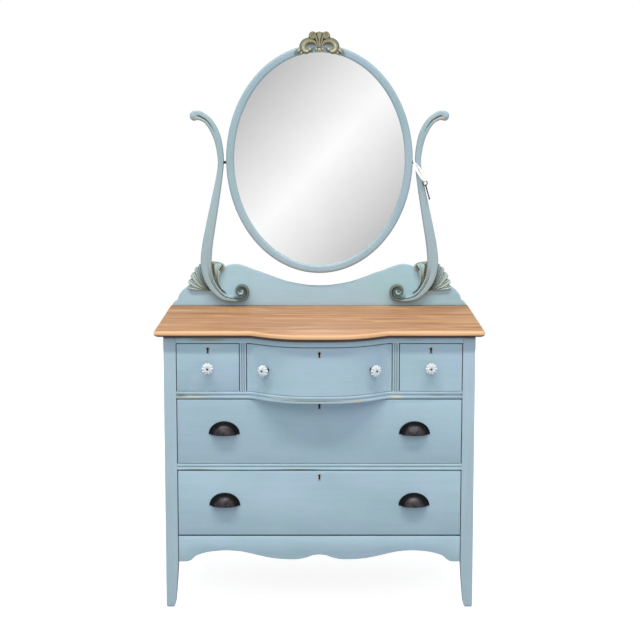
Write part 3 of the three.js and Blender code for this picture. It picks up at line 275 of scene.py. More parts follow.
def waxed_top():
    """Orange-tan boards with their grain along the width, a painted highlight on the rounded front of the edge
    and painted shade where the edge turns under.
    """
    f = Finish("waxed_top", specular_ior_level=0.35)
    broad = f.noise(1, 5, 0.62, f.stretched((0.9, 15, 15)), 0.7)
    fine = f.noise(1, 6, 0.72, f.stretched((3.2, 130, 130)), 0.4)
    pores = f.noise(1, 3, 0.6, f.stretched((14, 600, 600)))
    middle = f.noise(1, 4, 0.6, f.stretched((4, 38, 38), shift=(0.3, 0.8, 0)), 0.9)
    cloud = f.noise(3.4, 3)
    f.colour = f.mix(broad.span(0.32, 0.66), (158, 110, 70), (200, 150, 104))
    f.coat(middle.span(0.5, 0.66) * 0.55, (140, 94, 58))
    f.coat(middle.span(0.48, 0.34) * 0.5, (226, 180, 134))
    f.coat(fine.span(0.42, 0.66) * 0.6, (142, 94, 58))
    f.coat(cloud.span(0.45, 0.7) * 0.35, (190, 144, 104))
    f.coat(pores.span(0.6, 0.72) * 0.5, (104, 68, 44))
    # The rear left of the board has darker streaks.
    stain = f.noise(1, 4, 0.6, f.stretched((2.2, 30, 30), shift=(0.7, 0.2, 0)))
    f.coat(stain.span(0.56, 0.7) * 0.55, (120, 82, 58))
    down = f.facing("Z")
    # Painted highlight on the edge's rounded front; painted shade on its faces that turn down.
    f.coat(down.span(0.97, 0.7) * down.span(-0.35, -0.15) * 0.85, (231, 183, 136))
    f.coat(down.span(-0.3, -0.6) * 0.95, (66, 38, 28))
    return f.ready(0.36 + fine * 0.26, fine * 0.6 + pores * 0.4, 0.18, 0.0005)


def raw_wood(name, scale, light, dark):
    """Unfinished secondary wood; scale is small along the grain."""
    f = Finish(name, specular_ior_level=0.2)
    broad = f.noise(1, 4, 0.6, f.stretched(scale), 0.8)
    fine = f.noise(1, 5, 0.7, f.stretched(tuple(10 * s for s in scale)))
    stain = f.noise(4, 3)
    f.colour = f.mix(broad.span(0.3, 0.7), light, dark)
    f.coat(fine.span(0.45, 0.7) * 0.4, darker(dark, 0.8))
    f.coat(stain.span(0.5, 0.75) * 0.3, darker(light, 0.85))
    return f.ready(0.7 + fine * 0.2, fine, 0.2, 0.0006)


def carved(name, paint, gold, gilt, crease, scroll=None, gilt_strip=None):
    """Painted carving: dark old brown in its hollows, partly patina and partly painted shade, paint on its
    backs, gilt or bare wood on its ridges.
    scroll is the middle (x, z) of the right-hand scroll, whose inner side takes the gilt, and the y of the
    ground behind it; gilt_strip is how far from the dresser's middle a strip of left gilt stands."""
    f = Finish(name, specular_ior_level=0.3)
    drift = f.noise(38, 4, 0.6)
    rub = f.noise(130, 3, 0.6)
    ridge = f.edges(0.0035).span(0.01, 0.14)
    clear = f.shelter(0.011, 12)
    red, green, blue = paint
    f.colour = f.mix(drift.span(0.4, 0.62), paint, (red + 14, green + 12, blue))
    show = gilt + ridge * 0.3 + drift.span(0.5, 0.62) * 0.35
    if gilt_strip:
        # The strip leans outwards as it climbs.
        lean = f.along("X").off(0) - (f.along("Z") - TOP) * 0.25
        inner = lean.span(gilt_strip - 0.013, gilt_strip - 0.01)
        show = show + inner * lean.span(gilt_strip + 0.012, gilt_strip + 0.008) * 0.9
    if scroll:
        x, z, ground = scroll
        side = f.maths("SIGN", f.along("X"))
        mirrored = f.node("CombineXYZ", {}, {"X": side, "Z": 1})
        normal = f.vector("MULTIPLY", f.normal(), mirrored)
        reach = f.vector("SUBTRACT", (x, 0, z), f.vector("MULTIPLY", f.place, mirrored))
        inward = f.vector("DOT_PRODUCT", f.vector("NORMALIZE", reach), normal, output="Value")
        show = show * inward.span(-0.3, 0.3)
        # Painted shade darkens the outer slope of each scroll.
        f.coat(inward.span(-0.2, -0.75) * 0.6, (74, 74, 60))
    warm = f.mix(rub.span(0.35, 0.65), gold, darker(gold, 0.86))
    f.coat(show.span(0.1, 0.75), warm)
    # Patina and painted shade darken the hollows.
    f.coat((1 - clear.span(0.62, 0.95)) * 0.85, crease)
    f.coat((1 - clear.span(0.38, 0.78)) * 0.92, darker(crease, 0.5))
    if scroll:
        up = f.along("Z")
        palm = up.span(MIRROR_TOP, MIRROR_TOP + 0.016)
        # Painted shade darkens the palmette away from its ridges.
        f.coat(palm * (1 - ridge) * 0.4, (112, 104, 66))
        sunk = f.along("Y").span(ground - 0.0004, ground + 0.0003)
        # The ground is painted near black as shade in the palmette's gaps; lower down it takes the blue-grey
        # that shows behind the scrolls.
        f.coat(sunk, (46, 44, 28))
        f.coat(sunk * up.span(MIRROR_TOP + 0.003, MIRROR_TOP - 0.01), (160, 180, 190))
    return f.ready(0.5 + rub * 0.2, drift * 0.4 + rub * 0.6, 0.3, 0.0006)


def metal(name, colour, dull, roughness, metallic=0.9, flange=None):
    """Old metal with a darker bloom in patches; with a flange, this black near the drawer, and black
    underneath as painted shade.
    """
    f = Finish(name, metallic=metallic)
    bloom = f.noise(70, 4, 0.6)
    scratch = f.noise(300, 3, 0.6)
    f.colour = f.mix(bloom.span(0.4, 0.65), colour, dull)
    if flange:
        f.coat(f.along("Y").span(FRONT - 0.021, FRONT - 0.012) * 0.92, flange)
        # Painted shade: the faces that turn down are made black.
        f.coat(f.facing("Z").span(-0.1, -0.5) * 0.9, flange)
    return f.ready(roughness + bloom * 0.25, scratch * 0.5 + bloom, 0.12, 0.0004)


def keyhole_metal():
    """A thin rim worn pale on its face, and black inside the keyhole as painted shade."""
    f = Finish("worn_keyhole_rim", metallic=0.2)
    wear = f.noise(240, 3, 0.6)
    face = f.facing("Y").span(-0.6, -0.9)
    worn = f.mix(wear.span(0.4, 0.6), (186, 182, 180), (150, 146, 148))
    # Painted shade: all but the front face is near black, so the keyhole reads dark.
    f.colour = f.mix(face, (14, 14, 16), worn)
    return f.ready(0.75 - face * 0.3, wear, 0.1, 0.0003)


def knob_glass():
    """Pressed glass, a little milky, with faint swirls."""
    f = Finish("knob_glass", transmission_weight=0.3, ior=1.5)
    swirl = f.noise(160, 3)
    f.colour = f.mix(swirl.span(0.4, 0.6), (247, 249, 250), (232, 239, 243))
    return f.ready(0.03 + swirl * 0.07, swirl, 0.12, 0.0004)


def silvered_glass():
    f = Finish("silvered_glass", metallic=1)
    haze = f.noise(7, 4)
    f.give(base_color=f.mix(haze.span(0.4, 0.7), (254, 254, 254), (252, 252, 253)),
           roughness=0.02 + haze * 0.03)
    return f.material


def cotton():
    f = Finish("ribbon_cotton", specular_ior_level=0.15, sheen_weight=0.3)
    rib = f.noise(1, 2, 0.5, f.stretched((900, 900, 900)))
    f.colour = f.mix(rib, (240, 236, 224), (252, 251, 246))
    return f.ready(0.9, rib, 0.3, 0.0004)


RAIL_RUBS = (
    (-0.448, 0.715, 0.026, 0.0065, (96, 92, 60)), (-0.415, 0.7105, 0.07, 0.0035, (216, 208, 172)),
    (-0.392, 0.7165, 0.05, 0.0035, (146, 130, 104)), (0.25, 0.7115, 0.036, 0.007, (216, 208, 168)),
    (0.382, 0.7172, 0.04, 0.0035, (160, 136, 116)), (-0.03, 0.7125, 0.22, 0.0025, (100, 102, 74)),
    (0.122, 0.7085, 0.03, 0.0035, (204, 180, 156)), (-0.13, 0.7185, 0.06, 0.003, (214, 218, 200)),
    (-0.36, 0.9, 0.085, 0.0065, (148, 144, 116)), (0.31, 0.9, 0.04, 0.006, (148, 150, 128)),
    (-0.4, 0.4685, 0.09, 0.0025, (112, 108, 82)), (-0.07, 0.4685, 0.12, 0.0025, (108, 110, 86)),
)
STAND_RUBS = tuple((way * x, z, wide, tall, (192, 176, 152)) for way in (-1, 1) for x, z, wide, tall in
                   ((0.409, 1.5895, 0.017, 0.0085), (0.43, 1.5985, 0.019, 0.011)))
PAINT = painted("dusty_blue_paint", (160, 178, 189))
PAINT_DIVIDER = painted("dusty_blue_dividers", (162, 181, 192), 0.25, groove=0.004)
PAINT_FRONT = painted("dusty_blue_drawers", (162, 184, 196), 0.7, "X")
PAINT_RAIL = painted("dusty_blue_rails", (164, 186, 198), 1.6, "X", 0.004, rubbed=RAIL_RUBS)
PAINT_BOARD = painted("dusty_green_blue_board", (158, 184, 193), 0.5, "X")
PAINT_STAND = painted("dusty_blue_stand", (158, 177, 181), 0.2, "curve", coil=True, rubbed=STAND_RUBS)
PAINT_FRAME = painted("dusty_blue_mirror_frame", (156, 176, 184), 0, "curve")
TOP_WAX = waxed_top()
BARE = raw_wood("bare_pine", (3, 3, 40), (200, 168, 120), (172, 136, 90))
BARE_ALONG = raw_wood("bare_pine_drawers", (40, 3, 40), (200, 168, 120), (172, 136, 90))
LEAF_FINISH = carved("rubbed_leaf", (164, 182, 184), (156, 154, 126), -0.15, (80, 90, 88), gilt_strip=0.35)
CREST_FINISH = carved("gilt_crest", (130, 132, 118), (208, 197, 160), 0.76, (74, 69, 46),
                      (0.038, MIRROR_TOP - 0.013, BOARD - MOULDING_DEPTH - 0.0063))
IRON = metal("black_iron", (80, 75, 80), (52, 49, 54), 0.3, 0.75, (9, 11, 15))
RIM = keyhole_metal()
SCREW = metal("knob_screw", (126, 114, 124), (82, 72, 82), 0.35)
BRASS = metal("old_brass", (104, 88, 58), (58, 50, 38), 0.35)
# The lock is near black: painted shade for the dark of the keyhole.
LOCK = metal("lock_dark_as_keyhole_shade", (30, 26, 22), (16, 14, 12), 0.6, 0.5)
STEEL = metal("key_steel", (88, 86, 82), (48, 46, 44), 0.3)
GLASS = knob_glass()
SILVER = silvered_glass()
COTTON = cotton()


# Modelling helpers

def finished(name, bm, body, material, nodes, sharp=0.6):
    """Makes the object of a finished bmesh, smooth up to the angle sharp, in place of these nodes."""
    bmesh.ops.remove_doubles(bm, verts=bm.verts, dist=1e-6)
    bmesh.ops.recalc_face_normals(bm, faces=bm.faces)
    mesh = bpy.data.meshes.new(name)
    bm.to_mesh(mesh)
    bm.free()
    mesh.shade_smooth()
    mesh.set_sharp_from_angle(angle=sharp)
    mesh.materials.append(material)
    piece = bpy.data.objects.new(name, mesh)
    scene.collection.objects.link(piece)
    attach(piece, body)
    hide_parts(*nodes)
    return piece


def dressed(node, bm, body, material, sharp=0.6):
    return finished(f"{node}_dressed", bm, body, material, [node], sharp)


def refined(node, body, material, edge=0.0012, shortest=0.02):
    """The node's own shape with its flat faces made whole and its long keen edges eased by the size edge."""
    bm = bmesh.new()
    bm.from_mesh(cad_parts[node].data)
    bmesh.ops.remove_doubles(bm, verts=bm.verts, dist=2e-6)
    bmesh.ops.dissolve_limit(bm, angle_limit=0.01, verts=bm.verts, edges=bm.edges)
    if edge:
        keen = [e for e in bm.edges
                if len(e.link_faces) == 2 and e.calc_length() > shortest and e.calc_face_angle() > 0.55]
        bmesh.ops.bevel(bm, geom=keen, offset=edge, segments=2, profile=0.5,
                        affect="EDGES", material=-1, clamp_overlap=True)
    return dressed(node, bm, body, material)


def keep_nodes(material, *nodes):
    """Gives nodes that show as they are their material."""
    for node in nodes:
        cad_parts[node].data.materials[0] = material


def ring(bm, points):
    """The edges of a closed ring through points."""
    verts = [bm.verts.new(p) for p in points]
    return [bm.edges.new((a, b)) for a, b in zip(verts, verts[1:] + verts[:1])]


def skin(bm, rings, closed=False):
    """Draws a ring out through a row of like rings; the ends are filled unless the row closes on itself."""
    edges = ring(bm, rings[0])
    first = edges
    verts = [e.verts[0] for e in edges]
    for points in rings[1:] + (rings[:1] if closed else []):
        drawn = bmesh.ops.extrude_edge_only(bm, edges=edges)["geom"]
        fresh = {g for g in drawn if isinstance(g, bmesh.types.BMVert)}
        verts = [next(e.other_vert(v) for e in v.link_edges if e.other_vert(v) in fresh) for v in verts]
        edges = [bm.edges.get(two) for two in zip(verts, verts[1:] + verts[:1])]
        for v, point in zip(verts, points):
            v.co = point
    if not closed:
        bmesh.ops.contextual_create(bm, geom=first)
        bmesh.ops.contextual_create(bm, geom=edges)


def turned(bm, profile, steps, place, squeeze=None):
    """Spins a profile of (radius, height) about Z, then lets squeeze move each point, and places it."""
    verts = [bm.verts.new((radius, 0, height)) for radius, height in profile]
    edges = [bm.edges.new(two) for two in zip(verts, verts[1:])]
    before = set(bm.verts) - set(verts)
    bmesh.ops.spin(bm, geom=verts + edges, cent=(0, 0, 0), axis=(0, 0, 1), dvec=(0, 0, 0),
                   angle=2 * math.pi, steps=steps, use_merge=True)
    made = [v for v in bm.verts if v not in before]
    if squeeze:
        for v in made:
            v.co = squeeze(v.co)
    bmesh.ops.transform(bm, matrix=place, verts=made)


def through(points, steps, even=False):
    """A smooth curve through points, the first two numbers of each being its place; where it is even, the
    distance between the points has no say in how it bends."""
    points = [Vector(p) for p in points]
    run = [2 * points[0] - points[1], *points, 2 * points[-1] - points[-2]]
    curve = []
    for i in range(steps + 1):
        along = (len(points) - 1) * i / steps
        k = min(int(along), len(points) - 2)
        t = along - k
        a, b, c, d = run[k:k + 4]
        g, h, j = (1 if even else max((q.xy - p.xy).length, 1e-7) ** 0.5
                   for p, q in ((a, b), (b, c), (c, d)))
        leave = ((b - a) / g - (c - a) / (g + h) + (c - b) / h) * h
        reach = ((c - b) / h - (d - b) / (h + j) + (d - c) / j) * h
        curve.append(b * (2 * t ** 3 - 3 * t ** 2 + 1) + leave * (t ** 3 - 2 * t ** 2 + t)
                     + c * (3 * t ** 2 - 2 * t ** 3) + reach * (t ** 3 - t ** 2))
    return curve


def strip(bm, line, back, section, steps):
    """A carved strip on the XZ plane along (x, z, width, height) points, with its back at y = back.
    section gives (across, forward) shares, or a function of the share run so far that gives them."""
    line = through(line, steps)
    rings = []
    for i, (x, z, width, height) in enumerate(line):
        along = (line[min(i + 1, steps)] - line[max(i - 1, 0)]).xy.normalized()
        shares = section(i / steps) if callable(section) else section
        rings.append([(x + along.y * across * width, back - forward * height, z - along.x * across * width)
                      for across, forward in shares])
    skin(bm, rings)


def plate(bm, outline, back, thick):
    """A plate cut to an outline of (x, z) points, with its back at y = back."""
    edge = ring(bm, [(x, back, z) for x, z in outline])
    face = bmesh.ops.contextual_create(bm, geom=edge)["faces"]
    front = bmesh.ops.extrude_face_region(bm, geom=face)["geom"]
    bmesh.ops.translate(bm, vec=(0, -thick, 0), verts=[g for g in front if isinstance(g, bmesh.types.BMVert)])


def block(bm, place, size, edge, segments):
    """A block about the middle of place, with its edges eased."""
    made = bmesh.ops.create_cube(bm, size=1, matrix=place @ Matrix.Diagonal((*size, 1)))["verts"]
    eased = list(dict.fromkeys(e for v in made for e in v.link_edges))
    bmesh.ops.bevel(bm, geom=eased, offset=edge, segments=segments, profile=0.5, affect="EDGES", material=-1)


def ball(bm, place, size, columns, rows):
    bmesh.ops.create_uvsphere(bm, u_segments=columns, v_segments=rows, radius=1,
                              matrix=Matrix.Translation(place) @ Matrix.Diagonal((*size, 1)))


FORWARD = Matrix.Rotation(math.pi / 2, 4, "X")  # what stands along Z faces the front


def dome(bm, x, z, back, wide, deep):
    """Half a ball on its flat back."""
    place = Matrix.Translation((x, back, z)) @ Matrix.Diagonal((wide, deep, wide, 1))
    made = bmesh.ops.create_uvsphere(bm, u_segments=32, v_segments=16, radius=1,
                                     matrix=place @ FORWARD)["verts"]
    # Each once, in a fixed order
    edges = dict.fromkeys(e for v in made for e in v.link_edges)
    faces = dict.fromkeys(f for v in made for f in v.link_faces)
    cut = bmesh.ops.bisect_plane(bm, geom=[*made, *edges, *faces], plane_co=(0, back, 0),
                                 plane_no=(0, 1, 0), clear_outer=True)["geom_cut"]
    rim = [e for e in cut if isinstance(e, bmesh.types.BMEdge)]
    bmesh.ops.contextual_create(bm, geom=rim)


BOW_HALF, BOW_DEPTH = 0.225, 0.07


def swell(x):
    """How far the bowed middle of the front stands forward."""
    share = min(abs(x) / BOW_HALF, 1)
    return BOW_DEPTH * (1 - share ** 3) ** 1.3


def slope(x, step):
    """How steeply the bowed middle falls back, towards the side of x."""
    return (swell(x - step) - swell(x + step)) / (2 * step)


# Ribbon: over the pivot's collar, down in front of the right standard and through the key

RIBBON_ROUTE = [  # millimetres from the pivot
    (3.2, 7.1, -1), (3.2, 5.6, 4.6), (3.2, 0, 7.3), (3.2, -6.2, 4.2), (4, -12, -2.1),
    (7.2, -16.4, -10), (11.8, -19, -21.3), (19.4, -21.6, -35.9), (28.3, -23.6, -49.8),
    (35.6, -24.2, -58.3), (41, -24.1, -63.6), (42.9, -22.7, -67), (43.7, -19, -68.4),
    (42.9, -15.3, -67), (41.4, -13.9, -63.3), (39.1, -13.8, -55.7), (33.2, -14.1, -40.8),
    (25.6, -14.1, -25.3), (17.2, -14.1, -12.1), (10.6, -13.6, -4.4), (7.2, -10.6, -0.6), (6.6, -6.4, 4),
    (6.6, 0, 7.3), (6.6, 5.6, 4.6), (6.6, 7.1, -1),
]
RIBBON_WIDTH, RIBBON_STEPS = 0.0086, 160
RIBBON_TURN = 12  # the lowest point of the route, in the key's bow


def ribbon():
    """A flat ribbon that lies narrow on the collar and full where it hangs, and the line that it follows."""
    line = through([PIVOT + Vector(p) / 1000 for p in RIBBON_ROUTE], RIBBON_STEPS, even=True)
    bm = bmesh.new()
    rings = []
    across_collar, across_hang = Vector((1, 0, 0)), Vector((0.875, 0, 0.484))
    for i, here in enumerate(line):
        along = (line[min(i + 1, RIBBON_STEPS)] - line[max(i - 1, 0)]).normalized()
        low = part_way(PIVOT.z - here.z, 0.001, 0.018)
        turn = part_way(PIVOT.z - here.z, 0.052, 0.014)
        aim = across_collar.lerp(across_hang, low)
        wide = (aim - aim.dot(along) * along).normalized()
        thick = wide.cross(along)
        half = 0.0016 + (RIBBON_WIDTH / 2 - 0.0016) * low - 0.0004 * turn
        deep = 0.0007 - 0.00035 * low
        rings.append([here + wide * half * math.cos(a) + thick * deep * math.sin(a) for a in around(12)])
    skin(bm, rings)
    return finished("ribbon", bm, "case", COTTON, ["key_ribbon"]), line


ribbon_piece, ribbon_line = ribbon()


def key():
    """Oval bow, collar, shank with a pin end and a notched bit, all hung from the ribbon's turn."""
    turn, before = (PIVOT + Vector(RIBBON_ROUTE[i]) / 1000 for i in (RIBBON_TURN, RIBBON_TURN - 3))
    hang = Vector((turn.x - before.x, 0, turn.z - before.z)).normalized()
    place = Matrix.Translation(turn - hang * 0.0047) @ Matrix.Rotation(-0.28, 4, "Y")
    bm = bmesh.new()
    bow_rings = []
    for a in around(40):
        out = Vector((math.sin(a), 0, math.cos(a)))
        centre = Vector((0.0078 * math.sin(a), 0, -0.0074 + 0.0074 * math.cos(a)))
        bow_rings.append([place @ (centre + out * 0.0018 * math.cos(b) + Vector((0, 0.0015 * math.sin(b), 0)))
                          for b in around(10)])
    skin(bm, bow_rings, closed=True)
    shank = in_mm(
        (0, -13.8), (2.1, -13.8), (3.4, -15.5), (3.4, -16.8), (2.4, -17.8), (3.1, -19.2), (2.4, -20.6),
        (2.3, -32), (2.2, -62.5), (3, -63.5), (3.3, -65.2), (2.2, -67.2), (0, -67.5),
    )
    turned(bm, shank, 20, place)
    for low, high, reach in ((-0.0595, -0.0567, 0.0085), (-0.0569, -0.0544, 0.006), (-0.0546, -0.0507, 0.009)):
        block(bm, place @ Matrix.Translation((0, -reach / 2, (low + high) / 2)), (0.0024, reach, high - low),
              0.0003, 1)
    return dressed("key", bm, "case", STEEL)


key_piece = key()


# Case

for side, _ in pair():
    for node, edge in (("front_post", 0.0016), ("rear_post", 0.0016), ("end_panel", 0.0012)):
        refined(f"{node}_{side}", "case", PAINT, edge)
    refined(f"divider_{side}", "case", PAINT_DIVIDER, edge=0.0006, shortest=0.05)
    refined(f"mirror_batten_{side}", "case", BARE)

for node, edge in (("top_rail", 0.001), ("upper_drawer_rail", 0), ("lower_drawer_rail", 0)):
    refined(node, "case", PAINT_RAIL, edge)
refined("apron", "case", PAINT_RAIL, edge=0.0014, shortest=0.001)
refined("mirror_board", "case", PAINT_BOARD, edge=0.0018, shortest=0.001)
keep_nodes(BARE, "back_panel")
keep_nodes(BARE_ALONG, *(f"runner_frame_{level}" for level in ("upper", "middle", "bottom")))


# Top: a board with a rolled upper edge and a hollowed lower one, and the cleats under it

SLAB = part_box("top_slab")
SLAB_EDGE = in_mm(
    (8.5, 0), (6.2, 0.5), (4.2, 1.6), (2.4, 3.1), (1, 4.8), (0, 6.6), (0, 13.5), (0.3, 15.2), (1.1, 16.9),
    (2.5, 18.5), (4.2, 19.5), (6, 19.9), (8.5, 20),
)
CLEATS = ((0.4525, 0.025), (0.2475, 0.06))  # place from the middle, width
CLEAT_LENGTH, CLEAT_HEIGHT, CLEAT_FROM_FRONT = 0.393, 0.0265, 0.05


def slab_outline(inset, z):
    """The board's outline at the height z, drawn in by inset: corners, straight front and bowed middle."""
    half, front, back, corner = SLAB[1].x - inset, SLAB[0].y + BOW_DEPTH + inset, SLAB[1].y, 0.012
    right = [(half, back), (half, back - 0.2), (half, front + 0.15)]
    right += [(half - corner + corner * math.cos(a), front + corner - corner * math.sin(a))
              for a in (math.pi / 2 * k / 8 for k in range(9))]
    right += [(half - corner - (half - corner - BOW_HALF - 0.003) * k / 6, front) for k in range(1, 6)]
    right += [(x, front - swell(x)) for x in (BOW_HALF * (1 - k / 40) for k in range(41))]
    return [(x, y, z) for x, y in right + [(-x, y) for x, y in reversed(right[:-1])]]


def top_slab():
    bm = bmesh.new()
    skin(bm, [slab_outline(inset, SLAB_BOTTOM + height) for inset, height in SLAB_EDGE])
    for x, wide in CLEATS:
        for _, way in pair():
            place = Matrix.Translation((way * x, FRONT + CLEAT_FROM_FRONT + CLEAT_LENGTH / 2,
                                        SLAB_BOTTOM - CLEAT_HEIGHT / 2 + 0.0005))
            block(bm, place, (wide, CLEAT_LENGTH, CLEAT_HEIGHT), 0.001, 2)
    dressed("top_slab", bm, "case", TOP_WAX)


top_slab()


# Drawers

KEYHOLE_HEAD, KEYHOLE_FOOT = 0.016, 0.03  # below the upper edge of the front
KEYHOLE_RADIUS, SLOT_HALF = 0.004, 0.0023


def keyhole_rim(drawer, body):
    """A thin worn rim let into the front round the keyhole."""
    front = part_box(f"{drawer}_front")
    middle = 0 if front[0].x < 0 < front[1].x else (front[0].x + front[1].x) / 2
    face = DRAWER_FACE - (swell(middle) if "centre" in drawer else 0)
    centre = front[1].z - KEYHOLE_HEAD

    def hole(grow, y):
        half, radius = SLOT_HALF + grow, KEYHOLE_RADIUS + grow
        start = math.asin(half / radius)
        head = [(middle - radius * math.sin(a), y, centre - radius * math.cos(a))
                for a in (start + 2 * (math.pi - start) * k / 20 for k in range(21))]
        foot = front[1].z - KEYHOLE_FOOT - grow
        return [*head, (middle + half, y, foot), (middle - half, y, foot)]

    bm = bmesh.new()
    skin(bm, [hole(0.0001, face + 0.006), hole(0.0001, face - 0.0006), hole(0.0019, face - 0.0006),
              hole(0.0022, face - 0.0003), hole(0.0022, face + 0.0006)], closed=True)
    finished(f"{drawer}_keyhole_rim", bm, body, RIM, [f"{drawer}_front"])


def shaded_as_bowed(piece):
    """Gives a bowed face the shading of its true curve, which the keyhole's cut would break."""
    mesh = piece.data
    normals = [Vector(corner.vector) for corner in mesh.corner_normals]
    for face in mesh.polygons:
        for corner in face.loop_indices:
            x = mesh.vertices[mesh.loops[corner].vertex_index].co.x
            true = Vector((slope(x, 0.001), -1, 0)).normalized()
            if face.normal.dot(true) > 0.99:
                normals[corner] = true
    mesh.normals_split_custom_set(normals)


DRAWERS = {
    "small_drawer_left": "drawer_small_left", "small_drawer_right": "drawer_small_right",
    "centre_drawer": "drawer_centre", "upper_drawer": "drawer_upper", "lower_drawer": "drawer_lower",
}
for drawer, body in DRAWERS.items():
    front = refined(f"{drawer}_front", body, PAINT_FRONT, edge=0.0014)
    if drawer == "centre_drawer":
        shaded_as_bowed(front)
    keep_nodes(LOCK, f"{drawer}_lock")
    keep_nodes(BARE_ALONG, f"{drawer}_carcase", f"{drawer}_bottom")
    keyhole_rim(drawer, body)

KNOB_PROFILE = in_mm(
    (0, 5.2), (6.4, 5.2), (7.4, 8.5), (8.2, 12), (12.8, 15.8), (18, 18.8), (19.5, 21.4), (19.4, 23.8),
    (17.8, 26.8), (13.6, 29.2), (9, 30.2), (5, 29.8), (0, 29.7),
)
KNOB_FLUTES = 10
KNOB_EYE = 0.0085  # the flutes start outside this radius
KNOB_SHOULDER = 0.022  # above this height they also dip the face
SMALL_KNOB_X, CENTRE_KNOB_X, KNOB_SEAT_HALF = 0.361, 0.17, 0.0125


def fluted(place):
    """Draws a point of the turned glass in where it lies in the valley between two flutes."""
    out = place.xy.length
    if out < KNOB_EYE:
        return place
    depth = part_way(out, KNOB_EYE, 0.006)
    angle = math.atan2(place.y, place.x)
    valley = 1 - abs(math.cos(KNOB_FLUTES * angle / 2)) ** 0.7
    share = 1 - 0.14 * depth * valley
    dip = 0.0022 * depth * valley if place.z > KNOB_SHOULDER else 0
    return Vector((place.x * share, place.y * share, place.z - dip))


def knob(node, body, x):
    """Pressed glass knob on its metal rosette, with the end of its screw in its eye."""
    lean = math.atan(slope(x, KNOB_SEAT_HALF))
    place = (Matrix.Translation((x, DRAWER_FACE - swell(x), KNOB_HEIGHT)) @ Matrix.Rotation(lean, 4, "Z")
             @ FORWARD)
    bm = bmesh.new()
    profile = [(max(r, 0), h) for r, h in through(KNOB_PROFILE, 44)]
    profile[0], profile[-1] = KNOB_PROFILE[0], KNOB_PROFILE[-1]
    turned(bm, profile, 8 * KNOB_FLUTES, place, fluted)
    finished(f"{node}_glass", bm, body, GLASS, [node])
    bm = bmesh.new()
    rosette = in_mm(
        (0, 0.3), (10.2, 0.3), (10.2, 1.4), (8.8, 2.6), (8.4, 6), (8.8, 10.5), (7.6, 10.5), (7.2, 5.8),
        (2.6, 5.1), (0, 5.1),
    )
    turned(bm, rosette, 40, place)
    screw = in_mm((0, 29.8), (3.6, 29.8), (3.6, 30.6), (2.4, 31.5), (0, 31.7))
    turned(bm, screw, 24, place)
    finished(f"{node}_mount", bm, body, SCREW, [node])


knob("small_drawer_left_knob", "drawer_small_left", -SMALL_KNOB_X)
knob("small_drawer_right_knob", "drawer_small_right", SMALL_KNOB_X)
knob("centre_drawer_knob_left", "drawer_centre", -CENTRE_KNOB_X)
knob("centre_drawer_knob_right", "drawer_centre", CENTRE_KNOB_X)

PULL_X, PULL_HALF, PULL_TALL, PULL_DEEP = 0.31, 0.044, 0.037, 0.027


def cup_pull(node, body, x):
    """A half-oval flange with a hollow quarter shell on it, open below."""
    bm = bmesh.new()
    arc = [math.pi / 2 * i / 14 for i in range(15)]
    outer = [(math.sin(a), math.cos(a)) for a in arc]
    inner = [(0.945 * math.sin(a), 0.91 * math.cos(a)) for a in reversed(arc)]
    lip = [(1.01, 0.105), (1.11, 0.095), (1.15, 0.06), (1.155, 0), (0.945, 0)]
    shares = outer[:-1] + lip + inner[1:]
    verts = [bm.verts.new((r, 0, h)) for r, h in shares]
    edges = [bm.edges.new(two) for two in zip(verts, verts[1:] + verts[:1])]
    spun = bmesh.ops.spin(bm, geom=verts + edges, cent=(0, 0, 0), axis=(0, 0, 1), dvec=(0, 0, 0),
                          angle=math.pi, steps=48, use_merge=False)["geom_last"]
    bmesh.ops.contextual_create(bm, geom=edges)
    bmesh.ops.contextual_create(bm, geom=[e for e in spun if isinstance(e, bmesh.types.BMEdge)])
    place = (Matrix.Translation((x, FRONT + 0.0012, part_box(node)[0].z))
             @ Matrix.Diagonal((PULL_HALF, PULL_DEEP, PULL_TALL, 1)) @ FORWARD)
    bmesh.ops.transform(bm, matrix=place, verts=bm.verts)
    dressed(node, bm, body, IRON, sharp=0.9)


for side, way in pair():
    cup_pull(f"upper_cup_pull_{side}", "drawer_upper", way * PULL_X)
    cup_pull(f"lower_cup_pull_{side}", "drawer_lower", way * PULL_X)


# Standards: one arm from its tip down, then the coil at its foot

ARM_SHARES = [
    (0.953, 0.988, 0.86), (0.915, 0.9895, 0.87), (0.87, 0.9895, 0.85), (0.8, 0.981, 0.76),
    (0.718, 0.965, 0.71), (0.643, 0.938, 0.7), (0.583, 0.906, 0.69), (0.53, 0.866, 0.65),
    (0.48, 0.789, 0.57), (0.471, 0.735, 0.53), (0.497, 0.67, 0.56), (0.576, 0.541, 0.73),
    (0.66, 0.412, 0.86), (0.738, 0.283, 0.97), (0.76, 0.2, 1), (0.735, 0.135, 0.93),
    (0.67, 0.085, 0.83), (0.56, 0.04, 0.68), (0.44, 0.012, 0.54), (0.31, 0.001, 0.42),
]
ARM_REACH, ARM_HEIGHT, ARM_WIDTH, ARM_DEPTH = 0.191, 0.658, 0.038, 0.024
# At its waist the arm stands 8.9 mm outside the moulding; the waist's shares are those of the tenth row.
VOLUTE_X = MIRROR_HALF[0] + 0.0089 + 0.53 * ARM_WIDTH / 2 - 0.471 * ARM_REACH
STANDARD_FOOT = TOP + 0.026
COIL_STEPS, COIL_TURNS, COIL_RADIUS, BUD_RADIUS = 14, 1.25, 0.028, 0.0062
TIP_SCROLL_SIZE = (0.0155, 0.013, 0.0174)
BUD_SIZE = (0.0056, 0.0075, 0.0056)


